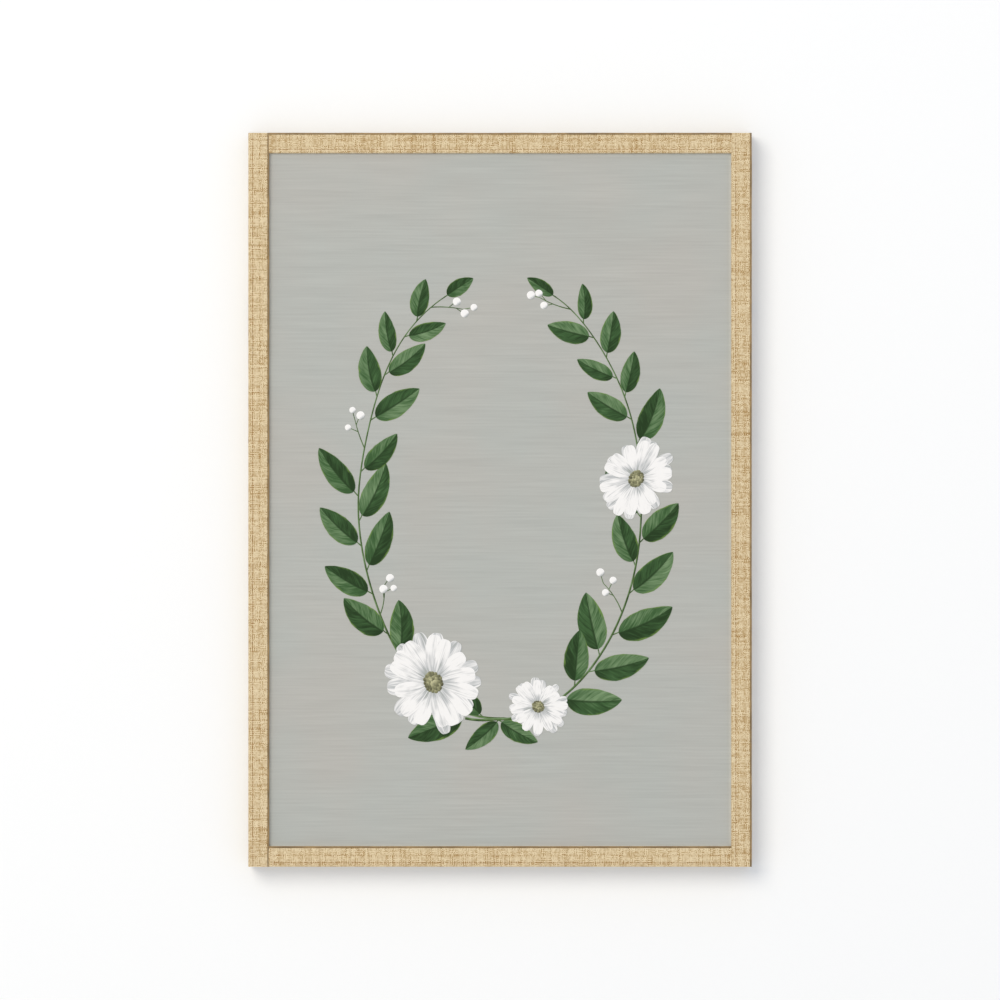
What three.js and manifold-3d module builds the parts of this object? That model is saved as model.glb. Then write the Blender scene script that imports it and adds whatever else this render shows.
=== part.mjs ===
// Framed picture: a canvas stretched on a keyed wooden stretcher, held by offset clips in a flat
// frame whose rails are wrapped in linen, and hung by two D-rings on the backs of its stiles.
//
// Millimetres. X runs across the picture, +Z is up and +Y points into the wall. The wall is the
// plane Y = 0, and the picture faces -Y. The origin lies midway between the two rings, level with
// the inner top of each ring, where a hook bears.

import * as THREE from 'three'
import { mergeVertices } from 'three/addons/utils/BufferGeometryUtils.js'
import Module from 'manifold-3d'

// ---- Driving dimensions --------------------------------------------------------------------

const SIGHT_WIDTH = 610 // visible picture, between the rails
const SIGHT_HEIGHT = 914
const RAIL_FACE = 27 // width of a rail, seen from the front
const RAIL_DEPTH = 30 // front of the linen to the back of the rail
const WALL_GAP = 6.4 // back of the frame to the wall
const TOP_ABOVE_HOOKS = 220 // the frame's top edge above the origin

const LINEN = 0.8 // thickness of the linen cover
const GLUE = 0.2 // glue line between the linen and the wood
const GAP = 0.3 // clearance between pieces that touch
const HALF_GAP = GAP / 2

const LIP_BACK = 4.5 // depth at which the front lip ends, from the front
const RABBET = 6.5 // width of the rabbet behind the lip, from the sight edge
const STRIP_WIDTH = 2.2 // dark edge strip
const STRIP_DEPTH = 1.6
const STRIP_ROUND = 0.9
const CREASE_IN = 5.4 // crease line, from the edge that has no strip
const CREASE_WIDTH = 0.9
const CREASE_DEPTH = 0.45
const FOLD_ROUND = 0.8 // the linen's corner at the edge that has no strip

const CANVAS = 0.6 // thickness of the primed canvas
const CANVAS_OVERLAP = 5 // canvas hidden under the lip, on each side
const CANVAS_RETURN = 26 // canvas folded over the back of the stretcher
const CANVAS_EASE = 0.2 // between the canvas and the bars

const BAR_WIDTH = 38 // stretcher bar
const BAR_DEPTH = 18
const BAR_BEAD = 6 // flat rim that carries the canvas
const BAR_BEVEL = 3.5 // how far the bar falls away from the canvas inside the rim
const BAR_ROUND = 1
const MITRE_GAP = 0.2
const TONGUE_FRONT = 8.2 // depth in the bar at which the corner tongue starts
const TONGUE_THICK = 4.2
const TONGUE_INSET = 4 // tongue's edge, from the bars' inner corner

const BRACE_WIDTH = 38 // bar across the middle of the stretcher
const BRACE_FRONT = 5.5
const BRACE_DEPTH = 11.5
const TENON_FRONT = 8.5
const TENON_THICK = 5
const TENON_WIDTH = 24
const TENON_LENGTH = 12

const KEY_THICK = 3 // wedge keys that spread the stretcher's corners
const KEY_LENGTH = 34
const KEY_IN = 17 // how deep a key is driven into its bar
const KEY_WIDE = 17
const KEY_NARROW = 6
const KEY_SET_OFF = 1 // key's straight edge, from the neighbouring bar
const KEY_IN_LONG_BAR = 4.8 // depths in the bar of each corner's two keys
const KEY_IN_SHORT_BAR = 13

const DOWEL_RADIUS = 3
const DOWEL_IN_STILE = 13
const DOWEL_IN_RAIL = 21
const DOWEL_DEPTHS = { front: 11, back: 22.5 } // from the front of the frame

const CLIP_WIDTH = 15 // offset clips
const CLIP_THICK = 1.2
const CLIP_FLANGE = 14 // on the frame's back, out from the rabbet wall
const CLIP_FOOT = 17 // over the stretcher's back, in from the rabbet wall
const CLIP_RISER = 2.2 // riser, in from the rabbet wall
const CLIP_FROM_MIDDLE = 150 // the stiles' clips, above and below the middle

const STRAP_WIDTH = 11 // hanger straps
const STRAP_THICK = 1
const STRAP_LENGTH = 48 // from the ring's axis to the strap's lower end
const STRAP_SCREWS = { upper: 19, lower: 38 } // below the ring's axis
const KNUCKLE_BORE = 1.5
const RING_WIRE = 1.2 // radius of the ring's wire
const RING_HALF = 8.7 // half the ring's width, to the middle of the wire
const RING_SIDE = 4 // straight side, from the axis to the bow
const RING_CORNER = 2.4

const SCREW_SHANK = 1.6
const SCREW_HEAD = 3.3
const SCREW_HEAD_HEIGHT = 1.9
const SCREW_LENGTH = 13
const SCREW_POINT = 3
const RECESS_LENGTH = 3.4 // cross recess in a screw's head
const RECESS_WIDTH = 0.7
const RECESS_DEPTH = 1.1

const BUMPER_RADIUS = 6.2
const BUMPER_ROUND = 1
const BUMPER_IN = 34 // from the frame's top or bottom edge

// ---- Sizes worked out from them -------------------------------------------------------------

const WIDTH = SIGHT_WIDTH + 2 * RAIL_FACE
const HEIGHT = SIGHT_HEIGHT + 2 * RAIL_FACE
const TOP = TOP_ABOVE_HOOKS
const BOTTOM = TOP - HEIGHT
const MIDDLE = (TOP + BOTTOM) / 2
const FRONT = -(RAIL_DEPTH + WALL_GAP) // Y of the linen's front face
const BACK = -WALL_GAP // Y of the rails' back faces
const SKIN = LINEN + GLUE
const RABBET_WALL = RAIL_FACE - RABBET // from the rail's outer side
const BACK_MIDDLE = (SKIN + RABBET_WALL) / 2 // middle of a rail's back face, from its outer side

const CANVAS_X = SIGHT_WIDTH / 2 + CANVAS_OVERLAP // canvas's edges, from its middle
const CANVAS_Z = SIGHT_HEIGHT / 2 + CANVAS_OVERLAP
const CANVAS_FRONT = FRONT + LIP_BACK + GAP
const BAR_FRONT = CANVAS_FRONT + CANVAS + CANVAS_EASE
const CANVAS_BACK = BAR_FRONT + BAR_DEPTH + CANVAS_EASE + CANVAS
const BAR_X = CANVAS_X - CANVAS - CANVAS_EASE // stretcher's outer edges, from its middle
const BAR_Z = CANVAS_Z - CANVAS - CANVAS_EASE
const BAY_X = BAR_X - BAR_WIDTH // stretcher's inner edges, from its middle
const BAY_Z = BAR_Z - BAR_WIDTH

const AXIS_Y = BACK + GAP + STRAP_THICK + KNUCKLE_BORE // ring's hinge axis
const RING_LEAN = Math.asin((AXIS_Y - BACK - GAP - RING_WIRE) / (RING_SIDE + RING_HALF))
const AXIS_Z = -(RING_SIDE + RING_HALF - RING_WIRE) * Math.cos(RING_LEAN)
const HANGER_X = WIDTH / 2 - BACK_MIDDLE

const SIDES = {
  left: new THREE.Vector3(1, 0, 0), // each member's way inward, to the picture
  right: new THREE.Vector3(-1, 0, 0),
  top: new THREE.Vector3(0, 0, -1),
  bottom: new THREE.Vector3(0, 0, 1),
}
const CORNERS = [
  { corner: 'top_left', sx: -1, sz: 1 },
  { corner: 'top_right', sx: 1, sz: 1 },
  { corner: 'bottom_left', sx: -1, sz: -1 },
  { corner: 'bottom_right', sx: 1, sz: -1 },
]
const CLIPS = [
  { name: 'left_upper', side: 'left', along: CLIP_FROM_MIDDLE },
  { name: 'left_lower', side: 'left', along: -CLIP_FROM_MIDDLE },
  { name: 'right_upper', side: 'right', along: CLIP_FROM_MIDDLE },
  { name: 'right_lower', side: 'right', along: -CLIP_FROM_MIDDLE },
  { name: 'top', side: 'top', along: 0 },
  { name: 'bottom', side: 'bottom', along: 0 },
]

// ---- Finishes: colour, roughness, metalness --------------------------------------------------

const LINEN_CLOTH = [0xd2bb93, 0.95, 0]
const DARK_WOOD = [0x5f4527, 0.6, 0]
const PALE_WOOD = [0xd9bd8c, 0.7, 0]
const BAR_WOOD = [0xdcc79d, 0.75, 0]
const PRIMED_CANVAS = [0xbabab4, 0.9, 0]
const ZINC_STEEL = [0xb9bcc0, 0.35, 1]
const NICKEL_STEEL = [0xc9c6bf, 0.25, 1]
const SOFT_RUBBER = [0xd8d8d4, 0.8, 0]

// ---- Shape tools ----------------------------------------------------------------------------

const wasm = await Module()
wasm.setup()
const picture = new THREE.Group()

// Adds a named piece with its own finish.
function add(name, geometry, [color, roughness, metalness], parent = picture) {
  const material = new THREE.MeshStandardMaterial({ color, roughness, metalness })
  const mesh = new THREE.Mesh(geometry, material)
  mesh.name = name
  parent.add(mesh)
}

// A closed geometry as a solid that can be cut and joined.
function solidOf(geometry) {
  const bare = geometry.clone()
  bare.deleteAttribute('normal')
  bare.deleteAttribute('uv')
  const merged = mergeVertices(bare)
  return new wasm.Manifold(new wasm.Mesh({
    numProp: 3,
    vertProperties: Float32Array.from(merged.attributes.position.array),
    triVerts: Uint32Array.from(merged.index.array),
  }))
}

// The geometry of a finished solid.
function geometryOf(solid) {
  const mesh = solid.getMesh()
  const geometry = new THREE.BufferGeometry()
  geometry.setAttribute('position', new THREE.BufferAttribute(mesh.vertProperties, 3))
  geometry.setIndex(new THREE.BufferAttribute(mesh.triVerts, 1))
  return geometry
}

function cut(geometry, cutters) {
  const solid = cutters.reduce((rest, one) => rest.subtract(solidOf(one)), solidOf(geometry))
  return geometryOf(solid)
}

function join(geometry, others) {
  const solid = others.reduce((sum, one) => sum.add(solidOf(one)), solidOf(geometry))
  return geometryOf(solid)
}

// A box between two corners given in any order.
function box([x0, y0, z0], [x1, y1, z1]) {
  const block = new THREE.BoxGeometry(Math.abs(x1 - x0), Math.abs(y1 - y0), Math.abs(z1 - z0))
  return block.translate((x0 + x1) / 2, (y0 + y1) / 2, (z0 + z1) / 2)
}

// An outline of [a, b] points pulled out by a length.
function pull(outline, depth) {
  const shape = new THREE.Shape(outline.map(([a, b]) => new THREE.Vector2(a, b)))
  return new THREE.ExtrudeGeometry(shape, { depth, bevelEnabled: false })
}

// A round hole through the back of the frame, as a bar along Y.
function boreAt(x, z, radius, y0, y1) {
  return new THREE.CylinderGeometry(radius, radius, y1 - y0, 12).translate(x, (y0 + y1) / 2, z)
}

// Lays a shape drawn in (inward, backward, along) at a member's outer edge, centred on its length.
function seat(geometry, side, edgeX, edgeZ, edgeY, length) {
  const inward = SIDES[side]
  const back = new THREE.Vector3(0, 1, 0)
  const along = new THREE.Vector3().crossVectors(inward, back)
  const edge = new THREE.Vector3(-inward.x * edgeX, edgeY, MIDDLE - inward.z * edgeZ)
  edge.addScaledVector(along, -length / 2)
  return geometry.applyMatrix4(new THREE.Matrix4().makeBasis(inward, back, along).setPosition(edge))
}

// ---- Frame members ---------------------------------------------------------------------------
// A member's section is drawn in (p, q): p runs across its face and q back from its front. It is
// drawn from the side that has the dark strip, and turned round where that is the sight edge.

const turned = (points, stripAtSight) =>
  stripAtSight ? points.map(([p, q]) => [RAIL_FACE - p, q]) : points

const STRIP_SIDE = STRIP_WIDTH + HALF_GAP
const STRIP_UNDER = STRIP_DEPTH + HALF_GAP

// The wooden core, with a step for the strip and a rabbet for the canvas.
function coreSection(stripAtSight) {
  const far = RAIL_FACE - SKIN
  const front = [
    [SKIN, STRIP_UNDER + SKIN], [STRIP_SIDE + SKIN, STRIP_UNDER + SKIN],
    [STRIP_SIDE + SKIN, SKIN], [far, SKIN],
  ]
  const back = stripAtSight
    ? [[far, RAIL_DEPTH], [RABBET, RAIL_DEPTH], [RABBET, LIP_BACK], [SKIN, LIP_BACK]]
    : [[far, LIP_BACK], [RABBET_WALL, LIP_BACK], [RABBET_WALL, RAIL_DEPTH], [SKIN, RAIL_DEPTH]]
  return turned([...front, ...back], stripAtSight)
}

// The cover's outside: under the strip, across the front with its crease, and round the far side.
function coverOutside(stripAtSight) {
  const crease = RAIL_FACE - CREASE_IN
  const fold = [0, 1, 2, 3].map((i) => {
    const a = (i / 3) * (Math.PI / 2)
    return [
      RAIL_FACE - FOLD_ROUND + FOLD_ROUND * Math.sin(a),
      FOLD_ROUND - FOLD_ROUND * Math.cos(a),
    ]
  })
  return [
    [0, stripAtSight ? LIP_BACK : RAIL_DEPTH],
    [0, STRIP_UNDER], [STRIP_SIDE, STRIP_UNDER], [STRIP_SIDE, 0],
    [crease - CREASE_WIDTH / 2, 0], [crease, CREASE_DEPTH], [crease + CREASE_WIDTH / 2, 0],
    ...fold,
    [RAIL_FACE, stripAtSight ? RAIL_DEPTH : LIP_BACK],
  ]
}

// The cover's section: its outside and, one thickness in, its inside.
function coverSection(stripAtSight) {
  const outside = coverOutside(stripAtSight)
  const [near, far] = [outside[0][1], outside[outside.length - 1][1]]
  const inside = [
    [RAIL_FACE - LINEN, far], [RAIL_FACE - LINEN, LINEN], [STRIP_SIDE + LINEN, LINEN],
    [STRIP_SIDE + LINEN, STRIP_UNDER + LINEN], [LINEN, STRIP_UNDER + LINEN], [LINEN, near],
  ]
  return turned([...outside, ...inside], stripAtSight)
}

// The whole section, which the linen covers where it is folded over a stile's end.
function endSection(stripAtSight) {
  const rabbet = stripAtSight
    ? [[RABBET, RAIL_DEPTH], [RABBET, LIP_BACK]]
    : [[RABBET_WALL, LIP_BACK], [RABBET_WALL, RAIL_DEPTH]]
  return turned([...coverOutside(stripAtSight), ...rabbet], stripAtSight)
}

// The dark strip, rounded at the member's corner.
function stripSection(stripAtSight) {
  const bow = [0, 1, 2, 3].map((i) => {
    const a = (i / 3) * (Math.PI / 2)
    return [STRIP_ROUND - STRIP_ROUND * Math.cos(a), STRIP_ROUND - STRIP_ROUND * Math.sin(a)]
  })
  const outline = [[0, STRIP_DEPTH], ...bow, [STRIP_WIDTH, 0], [STRIP_WIDTH, STRIP_DEPTH]]
  return turned(outline, stripAtSight)
}

// Blocks that cut a rail's two ends back to the sight opening, in front of its rabbet.
function shoulders(length) {
  const waste = (length - SIGHT_WIDTH) / 2 + GAP
  return [[-1, waste], [length - waste, length + 1]].map(([from, to]) =>
    box([-1, -1, from], [RAIL_FACE + 1, LIP_BACK + GAP, to]))
}

// Round bars along X at the frame's corners: the dowels, or their holes where they are eased.
function dowelBars(ease) {
  const wall = WIDTH / 2 - RABBET_WALL
  const from = wall - DOWEL_IN_RAIL - ease
  const to = wall + DOWEL_IN_STILE + ease
  return CORNERS.flatMap(({ corner, sx, sz }) =>
    Object.entries(DOWEL_DEPTHS).map(([which, depth]) => {
      const radius = DOWEL_RADIUS + ease
      const bar = new THREE.CylinderGeometry(radius, radius, to - from, 16).rotateZ(Math.PI / 2)
      bar.translate((sx * (from + to)) / 2, FRONT + depth, MIDDLE + sz * (HEIGHT / 2 - BACK_MIDDLE))
      return { name: `dowel_${corner}_${which}`, bar }
    }))
}

// Where screws enter the backs of the members, as { name, x, z }.
function clipScrew({ name, side, along }) {
  const inward = SIDES[side]
  const out = RABBET_WALL - CLIP_FLANGE / 2
  const x = inward.x ? -inward.x * (WIDTH / 2 - out) : along
  const z = inward.z ? MIDDLE - inward.z * (HEIGHT / 2 - out) : MIDDLE + along
  return { name: `clip_screw_${name}`, x, z }
}

const HANGERS = [{ side: 'left', x: -HANGER_X }, { side: 'right', x: HANGER_X }]
const CLIP_SCREWS = CLIPS.map(clipScrew)
const STRAP_SCREW_PLACES = HANGERS.flatMap(({ side, x }) =>
  Object.entries(STRAP_SCREWS).map(([which, below]) =>
    ({ name: `hanger_screw_${side}_${which}`, x, z: AXIS_Z - below })))

const screwHoles = [...CLIP_SCREWS, ...STRAP_SCREW_PLACES].map(({ x, z }) =>
  boreAt(x, z, SCREW_SHANK + GAP, BACK - SCREW_LENGTH - GAP, BACK + 1))
const dowelHoles = dowelBars(GAP).map(({ bar }) => bar)

// One of the frame's four members: core, linen cover and dark strip.
function addMember(name, side, stripAtSight) {
  const upright = SIDES[side].x !== 0
  const behindLips = WIDTH - 2 * RABBET_WALL - 2 * GAP
  const coverLength = upright ? HEIGHT : behindLips
  const coreLength = upright ? HEIGHT - 2 * SKIN : behindLips
  const stripLength = upright ? HEIGHT : SIGHT_WIDTH - 2 * GAP
  const place = (geometry, length) => seat(geometry, side, WIDTH / 2, HEIGHT / 2, FRONT, length)

  const blank = pull(coreSection(stripAtSight), coreLength)
  const shaped = upright ? blank : cut(blank, shoulders(coreLength))
  add(`${name}_core`, cut(place(shaped, coreLength), [...dowelHoles, ...screwHoles]), PALE_WOOD)

  const cover = pull(coverSection(stripAtSight), coverLength)
  const folds = [0, coverLength - LINEN].map((from) =>
    pull(endSection(stripAtSight), LINEN).translate(0, 0, from))
  const wrapped = upright ? join(cover, folds) : cut(cover, shoulders(coverLength))
  add(`${name}_linen`, place(wrapped, coverLength), LINEN_CLOTH)

  const strip = pull(stripSection(stripAtSight), stripLength)
  add(`${name}_edge_strip`, place(strip, stripLength), DARK_WOOD)
}

addMember('left_stile', 'left', true)
addMember('right_stile', 'right', false)
addMember('top_rail', 'top', false)
addMember('bottom_rail', 'bottom', true)
for (const { name, bar } of dowelBars(0)) add(name, bar, PALE_WOOD)

// ---- Canvas ----------------------------------------------------------------------------------
// One cloth, in two solids: the painted face, and the turnover that runs down the stretcher's sides
// and back over its bars.

const canvasBlock = (inset, y0, y1) => box(
  [-CANVAS_X + inset, y0, MIDDLE - CANVAS_Z + inset],
  [CANVAS_X - inset, y1, MIDDLE + CANVAS_Z - inset])

function canvasTurnover() {
  const inside = canvasBlock(CANVAS, CANVAS_FRONT, CANVAS_BACK - CANVAS)
  const opening = canvasBlock(CANVAS_RETURN, CANVAS_FRONT, CANVAS_BACK + 1)
  return cut(canvasBlock(0, CANVAS_FRONT + CANVAS + GAP, CANVAS_BACK), [inside, opening])
}

add('canvas', canvasBlock(0, CANVAS_FRONT, CANVAS_FRONT + CANVAS), PRIMED_CANVAS)
add('canvas_turnover', canvasTurnover(), PRIMED_CANVAS)

// ---- Stretcher -------------------------------------------------------------------------------

// A bar with mitred ends and a raised rim along its outer edge.
function mitredBar(length) {
  const bar = pull([
    [BAR_ROUND, 0], [BAR_BEAD, 0], [BAR_WIDTH, BAR_BEVEL], [BAR_WIDTH, BAR_DEPTH],
    [BAR_ROUND, BAR_DEPTH], [0, BAR_DEPTH - BAR_ROUND], [0, BAR_ROUND],
  ], 1)
  const { position } = bar.attributes
  for (let i = 0; i < position.count; i += 1) {
    const shorter = position.getX(i) + MITRE_GAP
    position.setZ(i, position.getZ(i) > 0.5 ? length - shorter : shorter)
  }
  return bar
}

// A block at a corner, from (x, z) points counted outward from the bars' inner corner.
function cornerBlock({ sx, sz }, [a0, b0], [a1, b1], depth, thick) {
  return box(
    [sx * (BAY_X + a0), BAR_FRONT + depth, MIDDLE + sz * (BAY_Z + b0)],
    [sx * (BAY_X + a1), BAR_FRONT + depth + thick, MIDDLE + sz * (BAY_Z + b1)])
}

// The tongue of a short bar at a corner, or the slot for it in the long bar.
function tongue(place) {
  return cornerBlock(place, [-TONGUE_INSET, TONGUE_INSET],
    [BAR_WIDTH - GAP, BAR_WIDTH - GAP], TONGUE_FRONT, TONGUE_THICK)
}

function tongueSlot(place) {
  return cornerBlock(place, [-TONGUE_INSET, TONGUE_INSET - GAP],
    [BAR_WIDTH + 1, BAR_WIDTH + 1], TONGUE_FRONT - GAP, TONGUE_THICK + 2 * GAP)
}

// A wedge key, or its pocket where it is eased, driven outward into the long or the short bar.
function key({ sx, sz }, inLongBar, ease) {
  const tail = KEY_LENGTH - KEY_IN
  const edge = -KEY_SET_OFF + ease
  const outline = [
    [-tail, edge], [KEY_IN + ease - 1, edge], [KEY_IN + ease, edge - 1],
    [KEY_IN + ease, -KEY_SET_OFF - KEY_NARROW - ease], [-tail, -KEY_SET_OFF - KEY_WIDE - ease],
  ]
  const thick = KEY_THICK + 2 * ease
  const depth = (inLongBar ? KEY_IN_LONG_BAR : KEY_IN_SHORT_BAR) - ease
  const points = outline.map(([a, b]) => {
    const [x, z] = inLongBar ? [a, b] : [b, a]
    return [sx * (BAY_X + x), -(MIDDLE + sz * (BAY_Z + z))]
  })
  return pull(points, thick).rotateX(-Math.PI / 2).translate(0, BAR_FRONT + depth, 0)
}

// The bar across the middle, with a tenon at each end, or its mortises where it is eased.
function tenons(ease) {
  const x = BAY_X + TENON_LENGTH + ease
  return box(
    [-x, BAR_FRONT + TENON_FRONT - ease, MIDDLE - TENON_WIDTH / 2 - ease],
    [x, BAR_FRONT + TENON_FRONT + TENON_THICK + ease, MIDDLE + TENON_WIDTH / 2 + ease])
}

function addBar(name, side) {
  const upright = SIDES[side].x !== 0
  const length = 2 * (upright ? BAR_Z : BAR_X)
  const bar = seat(mitredBar(length), side, BAR_X, BAR_Z, BAR_FRONT, length)
  const pockets = CORNERS.map((place) => key(place, upright, GAP))
  const ends = CORNERS.filter(({ sx, sz }) => sx * SIDES[side].x < 0 || sz * SIDES[side].z < 0)
  const shaped = upright
    ? cut(bar, [...ends.map(tongueSlot), tenons(GAP)])
    : join(bar, ends.map(tongue))
  add(name, cut(shaped, pockets), BAR_WOOD)
}

addBar('stretcher_long_bar_left', 'left')
addBar('stretcher_long_bar_right', 'right')
addBar('stretcher_short_bar_top', 'top')
addBar('stretcher_short_bar_bottom', 'bottom')

const brace = box(
  [-BAY_X + GAP, BAR_FRONT + BRACE_FRONT, MIDDLE - BRACE_WIDTH / 2],
  [BAY_X - GAP, BAR_FRONT + BRACE_FRONT + BRACE_DEPTH, MIDDLE + BRACE_WIDTH / 2])
add('stretcher_cross_brace', join(brace, [tenons(0)]), BAR_WOOD)

for (const place of CORNERS) {
  add(`key_${place.corner}_long_bar`, key(place, true, 0), PALE_WOOD)
  add(`key_${place.corner}_short_bar`, key(place, false, 0), PALE_WOOD)
}

// ---- Clips and screws ------------------------------------------------------------------------

// A pan-head screw along -Y, its head's underside at `under`, with a cross recess.
function screw(x, z, under) {
  const tip = under - SCREW_LENGTH
  const top = under + SCREW_HEAD_HEIGHT
  const profile = [
    [0, tip], [SCREW_SHANK, tip + SCREW_POINT], [SCREW_SHANK, under], [SCREW_HEAD, under],
    [SCREW_HEAD, under + 0.4 * SCREW_HEAD_HEIGHT],
    [0.8 * SCREW_HEAD, under + 0.85 * SCREW_HEAD_HEIGHT], [0.5 * SCREW_HEAD, top], [0, top],
  ]
  const body = new THREE.LatheGeometry(profile.map(([r, y]) => new THREE.Vector2(r, y)), 16)
  const slot = (dx, dz) => box([-dx, top - RECESS_DEPTH, -dz], [dx, top + 1, dz])
  const cross = [
    slot(RECESS_LENGTH / 2, RECESS_WIDTH / 2),
    slot(RECESS_WIDTH / 2, RECESS_LENGTH / 2),
  ]
  return cut(body, cross).translate(x, 0, z)
}

// An offset clip: a flange on the rail's back, a riser, and a foot on the stretcher's back.
function clip({ side, along }) {
  const foot = CANVAS_BACK + GAP
  const flange = BACK + GAP
  const outline = [
    [-CLIP_FLANGE, flange], [CLIP_RISER, flange], [CLIP_RISER, foot], [CLIP_FOOT, foot],
    [CLIP_FOOT, foot + CLIP_THICK], [CLIP_RISER + CLIP_THICK, foot + CLIP_THICK],
    [CLIP_RISER + CLIP_THICK, flange + CLIP_THICK], [-CLIP_FLANGE, flange + CLIP_THICK],
  ]
  const plate = pull(outline, CLIP_WIDTH)
  const inward = SIDES[side]
  const wall = { x: WIDTH / 2 - RABBET_WALL, z: HEIGHT / 2 - RABBET_WALL }
  seat(plate, side, wall.x, wall.z, 0, CLIP_WIDTH)
  return plate.translate(inward.z ? along : 0, 0, inward.x ? along : 0)
}

CLIPS.forEach((place, i) => {
  const { name, x, z } = CLIP_SCREWS[i]
  const hole = boreAt(x, z, SCREW_SHANK + GAP, BACK - 1, BACK + 4)
  add(`clip_${place.name}`, cut(clip(place), [hole]), ZINC_STEEL)
  add(name, screw(x, z, BACK + GAP + CLIP_THICK + HALF_GAP), ZINC_STEEL)
})

// ---- Hangers ---------------------------------------------------------------------------------

// A strap whose upper end is rolled into a knuckle round the ring's wire, drawn round the wire's
// axis with its length along +Z and the frame on its -Y side.
function strap() {
  const outer = KNUCKLE_BORE + STRAP_THICK
  const seam = Math.asin(KNUCKLE_BORE / outer) // where the rolled end meets the strap again
  const section = new THREE.Shape()
  section.moveTo(-STRAP_LENGTH, outer)
  section.lineTo(0, outer)
  section.absarc(0, 0, outer, Math.PI / 2, Math.PI - seam, true)
  section.lineTo(-STRAP_LENGTH, KNUCKLE_BORE)
  const bore = new THREE.Path()
  bore.absarc(0, 0, KNUCKLE_BORE, 0, 2 * Math.PI)
  section.holes.push(bore)
  const rolled = new THREE.ExtrudeGeometry(section, {
    depth: STRAP_WIDTH, bevelEnabled: false, curveSegments: 14,
  })
  const basis = new THREE.Matrix4().makeBasis(
    new THREE.Vector3(0, 0, 1), new THREE.Vector3(0, -1, 0), new THREE.Vector3(1, 0, 0))
  rolled.applyMatrix4(basis).translate(-STRAP_WIDTH / 2, 0, 0)

  const half = STRAP_WIDTH / 2
  const end = new THREE.Shape()
  end.moveTo(-half - 1, STRAP_LENGTH + 1)
  end.lineTo(-half - 1, STRAP_LENGTH - half)
  end.lineTo(-half, STRAP_LENGTH - half)
  end.absarc(0, STRAP_LENGTH - half, half, Math.PI, 0, true)
  end.lineTo(half + 1, STRAP_LENGTH - half)
  end.lineTo(half + 1, STRAP_LENGTH + 1)
  const corners = new THREE.ExtrudeGeometry(end, { depth: 4 * outer, bevelEnabled: false })
  corners.rotateX(-Math.PI / 2).translate(0, -2 * outer, 0)
  const holes = Object.values(STRAP_SCREWS).map((below) =>
    boreAt(0, -below, SCREW_SHANK + GAP, -2 * outer, 0))
  return cut(rolled, [corners, ...holes])
}

// The D-ring: a straight bar through the knuckle, two short sides and a round bow.
class RingLine extends THREE.Curve {
  constructor() {
    super()
    const half = RING_HALF
    const corner = RING_CORNER
    this.flat = new THREE.Path()
    this.flat.moveTo(0, 0)
    this.flat.lineTo(half - corner, 0)
    this.flat.absarc(half - corner, corner, corner, -Math.PI / 2, 0)
    this.flat.lineTo(half, RING_SIDE)
    this.flat.absarc(0, RING_SIDE, half, 0, Math.PI)
    this.flat.lineTo(-half, corner)
    this.flat.absarc(-half + corner, corner, corner, Math.PI, 1.5 * Math.PI)
    this.flat.lineTo(0, 0)
  }

  getPoint(t, target = new THREE.Vector3()) {
    const { x, y } = this.flat.getPoint(t % 1)
    return target.set(x, 0, y)
  }
}

for (const { side, x } of HANGERS) {
  const hanger = new THREE.Group()
  hanger.position.set(x, AXIS_Y, AXIS_Z)
  add(`hanger_strap_${side}`, strap(), NICKEL_STEEL, hanger)
  const leaning = new THREE.Group()
  leaning.rotation.x = RING_LEAN
  add(`hanger_ring_${side}`, new THREE.TubeGeometry(new RingLine(), 56, RING_WIRE, 10, true),
    NICKEL_STEEL, leaning)
  hanger.add(leaning)
  picture.add(hanger)
}

for (const { name, x, z } of STRAP_SCREW_PLACES) {
  add(name, screw(x, z, BACK + GAP + STRAP_THICK + HALF_GAP), NICKEL_STEEL)
}

// ---- Bumpers ---------------------------------------------------------------------------------

// A round pad whose flat face touches the wall.
function bumper(x, z) {
  const profile = [
    [0, BACK + GAP], [BUMPER_RADIUS, BACK + GAP], [BUMPER_RADIUS, -BUMPER_ROUND],
    [BUMPER_RADIUS - 0.3 * BUMPER_ROUND, -0.3 * BUMPER_ROUND], [BUMPER_RADIUS - BUMPER_ROUND, 0],
    [0, 0],
  ]
  const pad = new THREE.LatheGeometry(profile.map(([r, y]) => new THREE.Vector2(r, y)), 28)
  return pad.translate(x, 0, z)
}

for (const { corner, sx, sz } of CORNERS) {
  const z = MIDDLE + sz * (HEIGHT / 2 - BUMPER_IN)
  add(`bumper_${corner}`, bumper(sx * HANGER_X, z), SOFT_RUBBER)
}

export default picture
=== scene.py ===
"""A framed picture hung on a wall: a linen-wrapped frame round a painted canvas on its stretcher.

The frame's solids give every place and size. This file adds the woven linen with its stitched
creases, the dark edge strips, the canvas with its painted wreath, the staples, and the finish of
the timber and the hanging hardware. Metres, +Z up, the wall at Y = 0, the picture facing -Y.
"""

import math
import random
from functools import partial

import bmesh
import bpy
from bpy.props import FloatProperty, FloatVectorProperty, IntProperty, PointerProperty
from mathutils import Matrix, Vector, noise


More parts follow.
